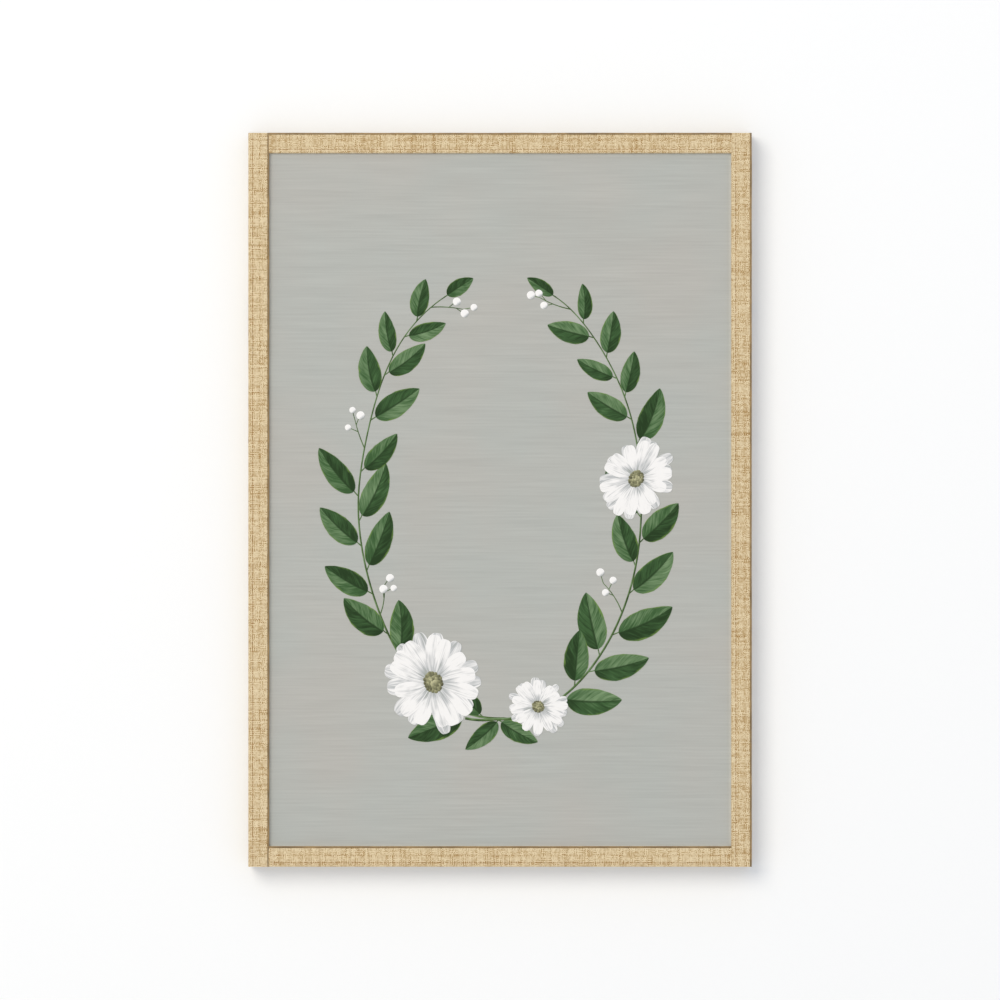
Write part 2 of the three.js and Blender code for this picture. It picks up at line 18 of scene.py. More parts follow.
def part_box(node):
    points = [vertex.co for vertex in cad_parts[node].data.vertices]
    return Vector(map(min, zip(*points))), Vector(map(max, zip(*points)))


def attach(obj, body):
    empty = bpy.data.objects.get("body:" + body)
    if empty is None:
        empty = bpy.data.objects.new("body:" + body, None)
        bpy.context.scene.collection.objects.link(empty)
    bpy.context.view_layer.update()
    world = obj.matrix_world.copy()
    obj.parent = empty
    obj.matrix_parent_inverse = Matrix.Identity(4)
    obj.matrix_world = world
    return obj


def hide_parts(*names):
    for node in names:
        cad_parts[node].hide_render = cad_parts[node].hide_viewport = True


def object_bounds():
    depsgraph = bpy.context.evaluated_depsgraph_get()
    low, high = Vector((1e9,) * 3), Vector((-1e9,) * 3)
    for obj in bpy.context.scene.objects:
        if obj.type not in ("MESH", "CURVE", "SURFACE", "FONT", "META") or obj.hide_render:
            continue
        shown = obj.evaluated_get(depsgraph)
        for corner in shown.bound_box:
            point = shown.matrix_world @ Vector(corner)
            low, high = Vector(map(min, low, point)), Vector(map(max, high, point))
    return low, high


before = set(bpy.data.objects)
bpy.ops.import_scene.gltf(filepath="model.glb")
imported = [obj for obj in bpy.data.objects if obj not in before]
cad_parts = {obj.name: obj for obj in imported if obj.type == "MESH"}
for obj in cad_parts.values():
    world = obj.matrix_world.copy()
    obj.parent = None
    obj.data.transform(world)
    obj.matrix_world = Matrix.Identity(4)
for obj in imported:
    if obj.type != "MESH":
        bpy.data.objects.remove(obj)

bl_info = {
    "name": "Framed picture",
    "version": (1, 0, 0),
    "blender": (4, 5, 0),
    "location": "3D View > Sidebar > Picture",
    "description": "Dresses a framed picture: linen, paint, timber and hanging hardware",
    "category": "Object",
}

# ---- Places taken from the frame -----------------------------------------------------------

CAD_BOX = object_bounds()
MM = 0.001
GAP = 0.3 * MM  # the clearance that the solids keep between pieces that touch
WELD = 0.001 * MM  # points that are nearer than this are one

INWARD = {
    "left_stile": Vector((1, 0, 0)),
    "right_stile": Vector((-1, 0, 0)),
    "top_rail": Vector((0, 0, -1)),
    "bottom_rail": Vector((0, 0, 1)),
}
STRIP_AT_SIGHT = {"left_stile": True, "right_stile": False, "top_rail": False, "bottom_rail": True}
CORNERS = [(-1, 1), (1, 1), (-1, -1), (1, -1)]  # x and z, from the picture's middle

LINEN_LOW, LINEN_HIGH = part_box("left_stile_linen")
RAIL_FACE = LINEN_HIGH.x - LINEN_LOW.x  # a rail's width, seen from the front
RAIL_DEPTH = LINEN_HIGH.y - LINEN_LOW.y
CANVAS_LOW, CANVAS_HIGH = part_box("canvas")
CANVAS_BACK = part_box("canvas_turnover")[1].y
LIP = CANVAS_LOW.y - GAP - LINEN_LOW.y  # how deep the canvas lies behind the rails' face
MIDDLE = (CANVAS_LOW + CANVAS_HIGH) / 2
SIGHT_X = -LINEN_HIGH.x  # half the width of the canvas that is seen, and half its height
SIGHT_Z = (LINEN_HIGH.z - LINEN_LOW.z) / 2 - RAIL_FACE
SHARP = math.radians(35)  # edges that bend more than this are crisp
LONG = 0.3  # metres; only edges that run the length of a rail or of the canvas are longer


def linear(code):
    """Turns an sRGB hex colour such as 0xd2bb93 into linear red, green, blue and alpha."""
    def channel(shift):
        c = (code >> shift & 255) / 255
        return c / 12.92 if c <= 0.04045 else ((c + 0.055) / 1.055) ** 2.4
    return (channel(16), channel(8), channel(0), 1.0)


# ---- Settings ------------------------------------------------------------------------------


def size(name, description, millimetres):
    """A length setting, given in millimetres and kept in metres."""
    return FloatProperty(
        name=name, description=description, default=millimetres * MM,
        min=0.0, unit="LENGTH", precision=5)


def colour(name, description, code):
    """A colour setting, given as an sRGB hex value."""
    return FloatVectorProperty(
        name=name, description=description, default=linear(code),
        size=4, min=0.0, max=1.0, subtype="COLOR")


class LinenSettings(bpy.types.PropertyGroup):
    """The cloth that wraps the rails, its crease and its stitches."""

    thickness: size("Thickness", "Thickness of the cloth", 0.8)
    thread: size("Thread spacing", "Distance between neighbouring threads", 1.45)
    crease_in: size("Rail crease", "From a rail's plain edge to its crease", 5.0)
    stile_crease_in: size("Stile crease", "From a stile's plain edge to its crease", 5.8)
    crease_width: size("Crease width", "Width of the pressed groove", 0.8)
    crease_depth: size("Crease depth", "Depth of the pressed groove", 0.3)
    fold: size("Fold radius", "Radius of the cloth at an outer plain edge", 0.8)
    sight_fold: size("Sight radius", "Radius of the cloth at a plain edge by the canvas", 2.0)
    rabbet: size("Rabbet", "Width of the rabbet behind the lip", 6.5)
    stitch: size("Stitch length", "Length of one stitch", 4.4)
    stitch_pitch: size("Stitch spacing", "Distance from stitch to stitch", 5.4)
    pale: colour("Pale thread", "Sunlit, bleached threads", 0xEDDCB9)
    straw: colour("Straw thread", "The cloth's main colour", 0xD2BA90)
    brown: colour("Brown thread", "Unbleached, woody threads", 0xA37B40)
    gap: colour("Between threads", "Shade in the gaps of the weave", 0x76582F)
    stitching: colour("Stitching", "Sewing thread along the crease", 0xB58859)
    strip_width: size("Strip width", "Width of the dark strip along the other edge", 2.1)
    strip_over: size("Strip overhang", "How far the left stile's strip covers the canvas", 0.6)
    # the strip's dark brown is painted shade, the shade line along one edge of each rail
    strip: colour("Edge strip", "Dark stained strip along the rail's other edge", 0x8E744B)


class PaintingSettings(bpy.types.PropertyGroup):
    """The painted wreath and its ground."""

    wreath_width: size("Wreath width", "Across the middle of the branches", 372.0)
    wreath_height: size("Wreath height", "From the crossing to the top", 580.0)
    leaf: size("Leaf length", "Length of a full-grown leaf", 78.0)
    leaf_spacing: size("Leaf spacing", "Along the branch, from leaf to leaf", 27.0)
    berry: size("Berry", "Radius of a berry", 5.0)
    seed: IntProperty(name="Seed", description="Draws the wreath's small differences", default=11)
    ground: colour("Ground", "Grey-green ground of the painting", 0xB7BBB8)
    ground_warm: colour("Warm ground", "Warmer passages of the ground", 0xBABAB6)
    leaf_dark: colour("Leaf shade", "Darkest green", 0x243D1E)
    leaf_green: colour("Leaf green", "Main green", 0x40633A)
    leaf_light: colour("Leaf light", "Greyed light green", 0x7F9C74)
    leaf_edge: colour("Leaf edge", "Yellow-green rim", 0x74954A)
    stem: colour("Stem", "Green of the stems", 0x55703F)
    petal_white: colour("Petal white", "Thick white paint", 0xFBFBFC)
    petal_grey: colour("Petal grey", "Cool grey strokes in the petals", 0xBFC3C6)
    petal_base: colour("Petal base", "Green-grey at the petals' roots", 0x9EA59C)
    centre: colour("Flower centre", "Grey olive of the centres", 0x8C8C6C)
    centre_light: colour("Centre light", "Light dabs in the centres", 0xC9C7A0)


class TimberSettings(bpy.types.PropertyGroup):
    """Bare wood at the back of the picture."""

    pine: colour("Pine", "Pale early wood", 0xE6CFA2)
    pine_late: colour("Pine grain", "Darker late wood", 0xD0AA76)
    beech: colour("Beech", "Wedge keys and dowels", 0xDCC09A)
    beech_fleck: colour("Beech fleck", "Short dark flecks", 0xC09E74)
    ease: size("Eased edges", "Radius of the planed edges", 0.5)


class HardwareSettings(bpy.types.PropertyGroup):
    """Clips, straps, rings, screws, staples and bumpers."""

    zinc: colour("Zinc", "Bluish zinc plating", 0xC3C6CA)
    nickel: colour("Nickel", "Warm nickel plating", 0xCFCBC2)
    rubber: colour("Rubber", "Milky soft rubber", 0xE4E3DC)
    staple_pitch: size("Staple spacing", "Distance from staple to staple", 52.0)
    staple_crown: size("Staple crown", "Length of a staple's crown", 10.0)


class StudioSettings(bpy.types.PropertyGroup):
    """Wall, floor, light and camera."""

    wall: colour("Wall", "White painted wall", 0xFFFFFF)
    floor: colour("Floor", "Pale floor", 0xE9E7E3)
    floor_below: size("Floor", "How far the floor is below the picture's middle", 1450.0)
    lens: FloatProperty(
        name="Lens", description="Focal length on a 36 mm sensor", default=200.0, min=1.0)
    dome: FloatProperty(
        name="Dome light", description="Strength of the light all round", default=0.69, min=0.0)
    glow: FloatProperty(
        name="Wall glow", description="What keeps the unshaded wall pure white",
        default=0.075, min=0.0)
    key: FloatProperty(
        name="Key light", description="Power of the soft light from the upper left",
        default=825.0, min=0.0, unit="POWER")


class PictureSettings(bpy.types.PropertyGroup):
    """All settings of the picture."""

    linen: PointerProperty(type=LinenSettings)
    painting: PointerProperty(type=PaintingSettings)
    timber: PointerProperty(type=TimberSettings)
    hardware: PointerProperty(type=HardwareSettings)
    studio: PointerProperty(type=StudioSettings)


# ---- Mesh helpers --------------------------------------------------------------------------


def kept_mesh(bm, name):
    """A mesh made of a bmesh that is then freed."""
    mesh = bpy.data.meshes.new(name)
    bm.to_mesh(mesh)
    bm.free()
    return mesh


def new_object(bm, name, materials=()):
    """A new object in the scene, made of a bmesh that is then freed."""
    thing = bpy.data.objects.new(name, kept_mesh(bm, name))
    for material in materials:
        thing.data.materials.append(material)
    bpy.context.scene.collection.objects.link(thing)
    return thing


def finish_piece(bm, name, materials, replaces=(), body="frame"):
    """Turns a bmesh into a smooth-shaded piece with crisp edges that rides on a body."""
    for face in bm.faces:
        face.smooth = True
    for edge in bm.edges:
        edge.smooth = edge.is_manifold and edge.calc_face_angle() <= SHARP
    piece = new_object(bm, name, materials)
    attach(piece, body)
    if replaces:
        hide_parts(*replaces)
    return piece


def stamp(bm, mesh, matrix):
    """Adds a copy of a mesh to a bmesh, placed by a matrix."""
    first = len(bm.verts)
    bm.from_mesh(mesh)
    bm.verts.ensure_lookup_table()
    bmesh.ops.transform(bm, matrix=matrix, verts=bm.verts[first:])


def carved(body, cutter):
    """What is left of one bmesh after another is cut out of it."""
    solids = [new_object(bm, "carving") for bm in (body, cutter)]
    modifier = solids[0].modifiers.new("carve", "BOOLEAN")
    modifier.operation = "DIFFERENCE"
    modifier.solver = "EXACT"
    modifier.object = solids[1]
    depsgraph = bpy.context.evaluated_depsgraph_get()
    left = bmesh.new()
    left.from_mesh(solids[0].evaluated_get(depsgraph).to_mesh())
    for solid in solids:
        bpy.data.objects.remove(solid)
    return left


def merged_copy(node):
    """A frame node's mesh as a bmesh, its loose triangles joined."""
    bm = bmesh.new()
    bm.from_mesh(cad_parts[node].data)
    bmesh.ops.remove_doubles(bm, verts=bm.verts, dist=WELD)
    return bm


def rounded(bm, geom, radius, segments, affect="EDGES", clamp_overlap=False):
    """Rounds edges, or the corners of a wire."""
    bmesh.ops.bevel(
        bm, geom=geom, offset=radius, offset_type="OFFSET", segments=segments, profile=0.5,
        affect=affect, clamp_overlap=clamp_overlap, material=-1)


def ease(bm, radius, longer_than, segments=2):
    """Rounds the sharp edges that are longer than a length."""
    edges = [
        e for e in bm.edges
        if e.is_manifold and e.calc_length() > longer_than and e.calc_face_angle() > SHARP]
    rounded(bm, edges, radius, segments, clamp_overlap=True)


def eased_node(node, finish, material, radius, longer_than):
    """Keeps a frame node's shape: makes its flat faces whole and rounds its longer edges."""
    bm = merged_copy(node)
    bmesh.ops.dissolve_limit(bm, angle_limit=math.radians(0.5), verts=bm.verts, edges=bm.edges)
    ease(bm, radius, longer_than)
    finish_piece(bm, f"{node}_{finish}", [material], replaces=[node])


def box_mesh(low, high):
    """A bmesh block between two corners."""
    bm = bmesh.new()
    bmesh.ops.create_cube(bm, size=1.0)
    extent = high - low
    bmesh.ops.transform(
        bm, verts=bm.verts,
        matrix=Matrix.Translation((low + high) / 2) @ Matrix.Diagonal((*extent, 1.0)))
    return bm


def edges_along(bm, axis, longer_than):
    """The edges that run along an axis, 0, 1 or 2, for more than a length."""
    def runs(edge):
        way = edge.verts[1].co - edge.verts[0].co
        return way.length > longer_than and abs(way[axis]) > 0.999 * way.length
    return [e for e in bm.edges if runs(e)]


def cut_along(bm, axis, longer_than, spacing):
    """Subdivides the long edges along an axis into pieces about one spacing long."""
    edges = edges_along(bm, axis, longer_than)
    cuts = round(max(e.calc_length() for e in edges) / spacing) - 1
    bmesh.ops.subdivide_edges(bm, edges=edges, cuts=cuts, use_grid_fill=True)


def spun(profile, steps):
    """A turned shape about the Y axis, from (radius, y) points that start and end on the axis."""
    bm = bmesh.new()
    points = [bm.verts.new((r, y, 0)) for r, y in profile]
    lines = [bm.edges.new(pair) for pair in zip(points, points[1:])]
    bmesh.ops.spin(
        bm, geom=points + lines, cent=(0, 0, 0), axis=(0, 1, 0),
        angle=math.tau, steps=steps, use_merge=True)
    bmesh.ops.remove_doubles(bm, verts=bm.verts, dist=WELD)
    bmesh.ops.recalc_face_normals(bm, faces=bm.faces)
    return bm


# ---- Material helpers ----------------------------------------------------------------------


def feed(material, socket, value):
    """Sets a socket's value, or links it to another socket or to a node's first live output."""
    if isinstance(value, bpy.types.Node):
        value = next(s for s in value.outputs if s.enabled)
    if isinstance(value, bpy.types.NodeSocket):
        material.node_tree.links.new(value, socket)
    else:
        socket.default_value = value


def add_node(material, kind, *fed, stops=(), **named):
    """Adds a node of a kind, whose operation follows after a space, and fills or links its inputs.

    The values of fed go to its inputs in order. Of the named ones, a name with a capital is an
    input and any other is a setting. stops are a colour ramp's (place, colour) pairs, the two ends
    first.
    """
    kind, *operation = kind.split()
    node = material.node_tree.nodes.new("ShaderNode" + kind)
    if operation:
        node.operation = operation[0]
    for name in [name for name in named if name[0].islower()]:
        setattr(node, name, named.pop(name))
    for socket, value in zip(node.inputs, fed):
        feed(material, socket, value)
    for name, value in named.items():
        socket = next(s for s in node.inputs if s.enabled and s.name == name.replace("_", " "))
        feed(material, socket, value)
    for i, (place, shade) in enumerate(stops):
        ramp = node.color_ramp.elements
        element = ramp[i] if i < 2 else ramp.new(place)
        element.position = place
        element.color = shade
    return node


def dressed(material, **sockets):
    """Gives sockets of a material's Principled shader their values or nodes."""
    shader = material.node_tree.nodes["Principled BSDF"]
    for name, value in sockets.items():
        feed(material, shader.inputs[name.replace("_", " ")], value)
    return material


def surface(name, **sockets):
    """A new material with what is the same all over it, and the function that adds its nodes."""
    material = bpy.data.materials.new(name)
    material.use_nodes = True
    return dressed(material, **sockets), partial(add_node, material)


def toned(shade, factor):
    """A linear colour made darker or lighter by a factor."""
    return tuple(min(1.0, factor * c) for c in shade[:3]) + (1.0,)


def woven(add, cloth, thread):
    """A plain weave over coordinates in metres: its tone and its height, as nodes.

    Warp threads run along the second coordinate and weft threads along the first. Each rises over
    every other thread that it meets, and the higher one of the two is seen.
    """
    wander = add("TexNoise", cloth, Scale=0.04 / thread, Detail=1.0)
    drift = add("VectorMath MULTIPLY", wander.outputs["Color"], (2.2,) * 3)
    counted = add("VectorMath MULTIPLY_ADD", cloth, (1 / thread,) * 3, drift)
    cell = add("VectorMath FLOOR", counted)
    place = add("SeparateXYZ", counted).outputs
    number = add("SeparateXYZ", cell).outputs
    tones, heights = [], []
    for across, along, rise in ((0, 1, 1.0), (1, 0, -1.0)):
        own_number = add("Math ADD", number[across], 57.0 * across)
        own = add("TexWhiteNoise", W=own_number, noise_dimensions="1D")
        slub_at = add("CombineXYZ", add("Math MULTIPLY", number[across], 3.7),
                      add("Math MULTIPLY", place[along], 0.09))
        slub = add("TexNoise", slub_at, Scale=1.0, Detail=2.0, noise_dimensions="2D")
        fibre_at = add("CombineXYZ", add("Math MULTIPLY", place[across], 5.0),
                       add("Math MULTIPLY", place[along], 0.8), 9.0 * rise)
        fibre = add("TexNoise", fibre_at, Scale=1.0, Detail=1.0)
        tone = add("Math MULTIPLY_ADD", own, 0.34, add("Math MULTIPLY", slub, 0.55))
        tones.append(add("Math MULTIPLY_ADD", fibre, 0.5, tone))
        half_turns = add("Math ADD", add("Math ADD", place[along], -0.5), number[across])
        swing = add("Math COSINE", add("Math MULTIPLY", half_turns, math.pi))
        wave = add("Math MULTIPLY", swing, 0.5 * rise)
        inside = add("Math MULTIPLY", add("Math FRACT", place[across]), math.pi)
        round_back = add("Math SQRT", add("Math SINE", inside))
        fat = add("Math MULTIPLY_ADD", slub, 0.5, 0.38)
        heights.append(add("Math MULTIPLY_ADD", round_back, fat, wave))
    over = add("Math GREATER_THAN", heights[1], heights[0])
    tone = add("Mix", Factor=over, A=tones[0], B=tones[1])
    # each crossing has a tone of its own, and a few are much paler
    speck = add("Math POWER", add("TexWhiteNoise", cell, noise_dimensions="2D"), 2.0)
    tone = add("Math MULTIPLY_ADD", speck, 0.28, tone)
    return tone, add("Math MAXIMUM", heights[0], heights[1])


# ---- Linen covers --------------------------------------------------------------------------

CLOTH_STEP = 2 * MM  # distance between a cover's points


def seat_of(member):
    """The matrix that lays (inward, back, along) at a rail's outer front edge, and its length."""
    low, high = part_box(f"{member}_linen")
    inward = INWARD[member]
    back = Vector((0, 1, 0))
    along = inward.cross(back)
    edge = (low + high) / 2
    edge.y = low.y
    for axis in (0, 2):
        if inward[axis]:
            edge[axis] = low[axis] if inward[axis] > 0 else high[axis]
    seat = Matrix.Translation(edge) @ Matrix((inward, back, along)).transposed().to_4x4()
    return seat, abs((high - low).dot(along))


def crease_of(look, member):
    """How far a member's crease lies from the edge that has the dark strip."""
    return RAIL_FACE - (look.stile_crease_in if member.endswith("stile") else look.crease_in)


def strip_overhang(look, member):
    """How far a member's strip stands over the canvas."""
    return look.strip_over if member == "left_stile" else 0.0


def cover_wire(bm, look, member):
    """The cover's outer line across a rail, as a wire with rounded folds and a soft crease."""
    at_sight = STRIP_AT_SIGHT[member]
    strip_low, strip_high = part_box(f"{member}_edge_strip")
    side = look.strip_width - strip_overhang(look, member) + GAP / 2
    under = strip_high.y - strip_low.y + GAP / 2
    crease = crease_of(look, member)
    half = look.crease_width / 2
    near, far = (LIP, RAIL_DEPTH) if at_sight else (RAIL_DEPTH, LIP)
    line = [
        (0, near, 0), (0, under, 0.3 * MM), (side, under, 0.2 * MM), (side, 0, 0.5 * MM),
        (crease - half, 0, 0.3 * MM), (crease, look.crease_depth, 0.25 * MM),
        (crease + half, 0, 0.3 * MM), (RAIL_FACE, 0, look.fold if at_sight else look.sight_fold),
        (RAIL_FACE, far, 0)]
    line.insert(8 if at_sight else 1, (RAIL_FACE if at_sight else 0, LIP + GAP, 0))
    if at_sight:
        line = [(RAIL_FACE - p, q, r) for p, q, r in line]
    points = [bm.verts.new((p, q, 0)) for p, q, _ in line]
    for pair in zip(points, points[1:]):
        bm.edges.new(pair)
    for p, q, radius in line:
        if radius:
            corner = min(bm.verts, key=lambda v: (v.co.xy - Vector((p, q))).length)
            rounded(bm, [corner], radius, 3 if radius < MM else 6, affect="VERTICES")
    for edge in [e for e in bm.edges if e.calc_length() > 1.2 * CLOTH_STEP]:
        cuts = round(edge.calc_length() / CLOTH_STEP) - 1
        bmesh.ops.subdivide_edges(bm, edges=[edge], cuts=cuts)
    first = Vector(line[0][:2])
    return min(bm.verts, key=lambda v: (v.co.xy - first).length)


def follow(start, edges):
    """The vertices along the open line that some of a bmesh's edges make, in order."""
    order, edge, line = [start], None, set(edges)
    while True:
        onward = [e for e in order[-1].link_edges if e in line and e is not edge]
        if not onward:
            return order
        edge = onward[0]
        order.append(edge.other_vert(order[-1]))


def cover_shape(look, member):
    """One rail's cover as an open shell, with its cloth coordinates in metres."""
    seat, length = seat_of(member)
    upright = member.endswith("stile")
    bm = bmesh.new()
    developed = bm.verts.layers.float.new("developed")
    # hem and pressed, kept in the sewing map, carry the painted highlight beyond the crease and the
    # painted shade in it
    hem = bm.verts.layers.float.new("hem")
    pressed = bm.verts.layers.float.new("pressed")
    cloth = bm.loops.layers.uv.new("cloth")
    sewing = bm.loops.layers.uv.new("sewing")
    wire = follow(cover_wire(bm, look, member), bm.edges)
    at = 0.0
    for before, point in zip([wire[0]] + wire, wire):
        at += (point.co - before.co).length
        point[developed] = at
        p = RAIL_FACE - point.co.x if STRIP_AT_SIGHT[member] else point.co.x
        past = p - crease_of(look, member)
        on_face = point.co.y < look.fold
        point[hem] = max(0.0, min(1.0, past / (1.5 * MM)))
        point[pressed] = max(0.0, 1 - abs(past) / look.crease_width) if on_face else 0.0
    start_at = wire[0].co.xy
    out = bmesh.ops.extrude_edge_only(bm, edges=bm.edges[:])
    moved = [g for g in out["geom"] if isinstance(g, bmesh.types.BMVert)]
    bmesh.ops.translate(bm, verts=moved, vec=(0, 0, length))
    bmesh.ops.translate(bm, verts=bm.verts, vec=(0, 0, -length / 2))
    bmesh.ops.recalc_face_normals(bm, faces=bm.faces)
    front = max(bm.faces, key=lambda f: abs(f.normal.y) * f.calc_area())
    if front.normal.y > 0:
        bmesh.ops.reverse_faces(bm, faces=bm.faces)
    if upright:
        close_ends(bm, look, start_at, length)
    cut_along(bm, 2, LONG, CLOTH_STEP)
    if not upright:
        cut_shoulders(bm, -1 if member == "top_rail" else 1)
    for face in bm.faces:
        flat_end = abs(face.normal.z) > 0.9
        for loop in face.loops:
            p, q, z = loop.vert.co
            loop[cloth].uv = (p, z + q) if flat_end else (loop.vert[developed], z)
            loop[sewing].uv = (0, 0) if flat_end else (loop.vert[hem], loop.vert[pressed])
    ruffle(bm, seat, length)
    bmesh.ops.transform(bm, matrix=seat, verts=bm.verts)
    return bm


def close_ends(bm, look, start_at, length):
    """Folds the cloth over a stile's two ends, round its rabbet."""
    wall = RAIL_FACE - look.rabbet
    for z in (-length / 2, length / 2):
        rim = [e for e in bm.edges if all(abs(v.co.z - z) < GAP for v in e.verts)]
        start = next(v for e in rim for v in e.verts if (v.co.xy - start_at).length < WELD)
        order = follow(start, rim)
        inner = [(wall, order[-1].co.y, z), (wall, start.co.y, z)]
        cap = bm.faces.new(order + [bm.verts.new(corner) for corner in inner])
        cap.normal_update()
        if cap.normal.z * z < 0:
            cap.normal_flip()


def cut_shoulders(bm, left):
    """Cuts the front of a rail's cover back to the stiles, whose sides it butts on.

    left is the local end, -1 or 1, that meets the left stile and its dark strip. The other end is
    pushed a little way into the rounded edge of the right stile's cover, so that no gap shows.
    """
    reaches = {left: SIGHT_X + 0.1 * MM, -left: SIGHT_X + 0.6 * MM}
    for end, reach in reaches.items():
        bmesh.ops.bisect_plane(
            bm, geom=bm.verts[:] + bm.edges[:] + bm.faces[:], dist=WELD,
            plane_co=(0, 0, end * reach), plane_no=(0, 0, end))

    def is_waste(face):
        middle = face.calc_center_median()
        return middle.y < LIP + GAP and abs(middle.z) > reaches[math.copysign(1, middle.z)]

    bmesh.ops.delete(bm, geom=[f for f in bm.faces if is_waste(f)], context="FACES")


def ruffle(bm, seat, length):
    """Lifts and sinks the cloth a little, as glued linen lies: low swells and raised slubs."""
    bm.normal_update()
    for vert in bm.verts:
        place = seat @ vert.co
        swell = noise.noise(place / (14 * MM)) * 0.09 * MM
        slub = noise.noise(place / (3.2 * MM)) * 0.07 * MM
        way = vert.normal.copy()
        if abs(abs(vert.co.z) - length / 2) < GAP:
            way.z = 0
        vert.co += way * (swell + slub)


def linen_material(look):
    """Plain-woven natural linen: straw-coloured, with slubs, pale and woody threads, quite matt.

    Its real threads are about 0.7 mm apart, too fine to show from where the whole picture is
    seen, so they are drawn at the setting's wider spacing.
    """
    material, add = surface(
        "plain_woven_linen", Roughness=0.92, Sheen_Weight=0.12, Sheen_Roughness=0.5,
        Specular_IOR_Level=0.25)
    cloth = add("UVMap", uv_map="cloth")
    tone, height = woven(add, cloth, look.thread)
    # patches where the weave is looser or the flax darker, 9 and 60 mm wide
    patch = add("TexNoise", cloth, Scale=1 / (9 * MM), Detail=1.0)
    wide = add("TexNoise", cloth, Scale=1 / (60 * MM), Detail=1.0)
    mood = add("Math ADD", add("Math MULTIPLY_ADD", patch, 0.13, -0.07),
               add("Math MULTIPLY_ADD", wide, 0.14, -0.078))
    # painted light: paler on the narrow hem beyond the crease, a painted highlight, and darker in
    # the pressed crease itself, a painted shade
    hem, pressed, _ = add("SeparateXYZ", add("UVMap", uv_map="sewing")).outputs
    mood = add("Math MULTIPLY_ADD", hem, 0.04, mood)
    shade = add("Math ADD", tone, add("Math MULTIPLY_ADD", pressed, -0.11, mood))
    threads = add("ValToRGB", shade, stops=(
        (0.445, look.brown), (0.93, look.pale), (0.69, look.straw)))
    depth = add("MapRange", height, 0.1, 0.5, 0.85, 0.0)
    return dressed(
        material, Base_Color=add("Mix", Factor=depth, A=threads, B=look.gap, data_type="RGBA"),
        Normal=add("Bump", Strength=0.7, Distance=0.45 * MM, Height=height))


class FRAMEDPICTURE_OT_linen(bpy.types.Operator):
    """Wrap the four rails in linen"""

    bl_idname = "framed_picture.linen"
    bl_label = "Linen covers"

    def execute(self, context):
        look = context.scene.framed_picture.linen
        linen = linen_material(look)
        for member in INWARD:
            cover = finish_piece(
                cover_shape(look, member), f"{member}_cover", [linen],
                replaces=[f"{member}_linen"])
            wall = cover.modifiers.new("cloth thickness", "SOLIDIFY")
            wall.thickness = look.thickness
            wall.offset = -1.0
        return {"FINISHED"}


# ---- Stitches and edge strips --------------------------------------------------------------


def stitch_mesh(look):
    """One stitch along Z: a short thread that dips into the cloth at both ends."""
    bm = bmesh.new()
    radius, taper, dip = 0.33 * MM, 0.45, 0.5 * MM
    half = look.stitch / 2
    bmesh.ops.create_cone(
        bm, cap_ends=True, segments=6, radius1=radius, radius2=radius, depth=look.stitch)
    cut_along(bm, 2, half, look.stitch / 4)
    for vert in bm.verts:
        end = (vert.co.z / half) ** 4
        vert.co.xy *= 1 - taper * end
        vert.co.y += dip * end
    return kept_mesh(bm, "stitch")


def thread_material(look):
    """Waxed linen sewing thread: reddish brown, its two strands twisted at about 0.6 mm."""
    material, add = surface("twisted_linen_thread", Roughness=0.7)
    place = add("TexCoord").outputs["Object"]
    twist = add("TexNoise", place, Scale=1 / (0.6 * MM), Detail=1.0)
    worn = add("TexNoise", place, Scale=1 / (11 * MM), Detail=2.0)
    return dressed(
        material,
        Base_Color=add("ValToRGB", add("Math MULTIPLY", twist, worn), stops=(
            (0.12, look.gap), (0.5, look.brown), (0.28, look.stitching))),
        Normal=add("Bump", Strength=0.5, Distance=0.1 * MM, Height=twist))


class FRAMEDPICTURE_OT_stitches(bpy.types.Operator):
    """Sew the crease along each rail"""

    bl_idname = "framed_picture.stitches"
    bl_label = "Crease stitches"

    def execute(self, context):
        look = context.scene.framed_picture.linen
        draw = random.Random(5)
        stitch = stitch_mesh(look)
        thread = thread_material(look)
        for member in INWARD:
            seat, length = seat_of(member)
            if not member.endswith("stile"):
                length = 2 * (SIGHT_X - GAP)
            crease = crease_of(look, member)
            if STRIP_AT_SIGHT[member]:
                crease = RAIL_FACE - crease
            count = int((length - 2 * look.stitch) / look.stitch_pitch)
            bm = bmesh.new()
            for i in range(count):
                z = (i - (count - 1) / 2) * look.stitch_pitch + draw.uniform(-0.4, 0.4) * MM
                p = crease + draw.uniform(-0.12, 0.12) * MM
                q = 0.2 * look.crease_depth
                turn = Matrix.Rotation(draw.uniform(-0.06, 0.06), 4, "Y")
                grow = Matrix.Diagonal((1, 1, draw.uniform(0.8, 1.08), 1))
                stamp(bm, stitch, seat @ Matrix.Translation((p, q, z)) @ turn @ grow)
            finish_piece(bm, f"{member}_stitches", [thread])
        return {"FINISHED"}


def strip_material(look):
    """Hardwood strip, satin: its dark brown is painted shade along one edge of each rail, with fine
    darker pores along its length.
    """
    material, add = surface(
        "hardwood_strip_painted_shade", Roughness=0.5, Coat_Weight=0.15, Coat_Roughness=0.3)
    grain = add("UVMap", uv_map="grain")
    stretched = add("Mapping", grain, Scale=(1 / (0.5 * MM), 1 / (9 * MM), 1.0))
    pores = add("TexNoise", stretched, Scale=1.0, Detail=3.0)
    patches = add("TexNoise", grain, Scale=1 / (34 * MM), Detail=2.0)
    return dressed(
        material,
        Base_Color=add("ValToRGB", add("Mix", Factor=0.45, A=pores, B=patches), stops=(
            (0.3, toned(look.strip, 0.45)), (0.7, toned(look.strip, 1.8)), (0.5, look.strip))),
        Normal=add("Bump", Strength=0.4, Distance=0.08 * MM, Height=pores))


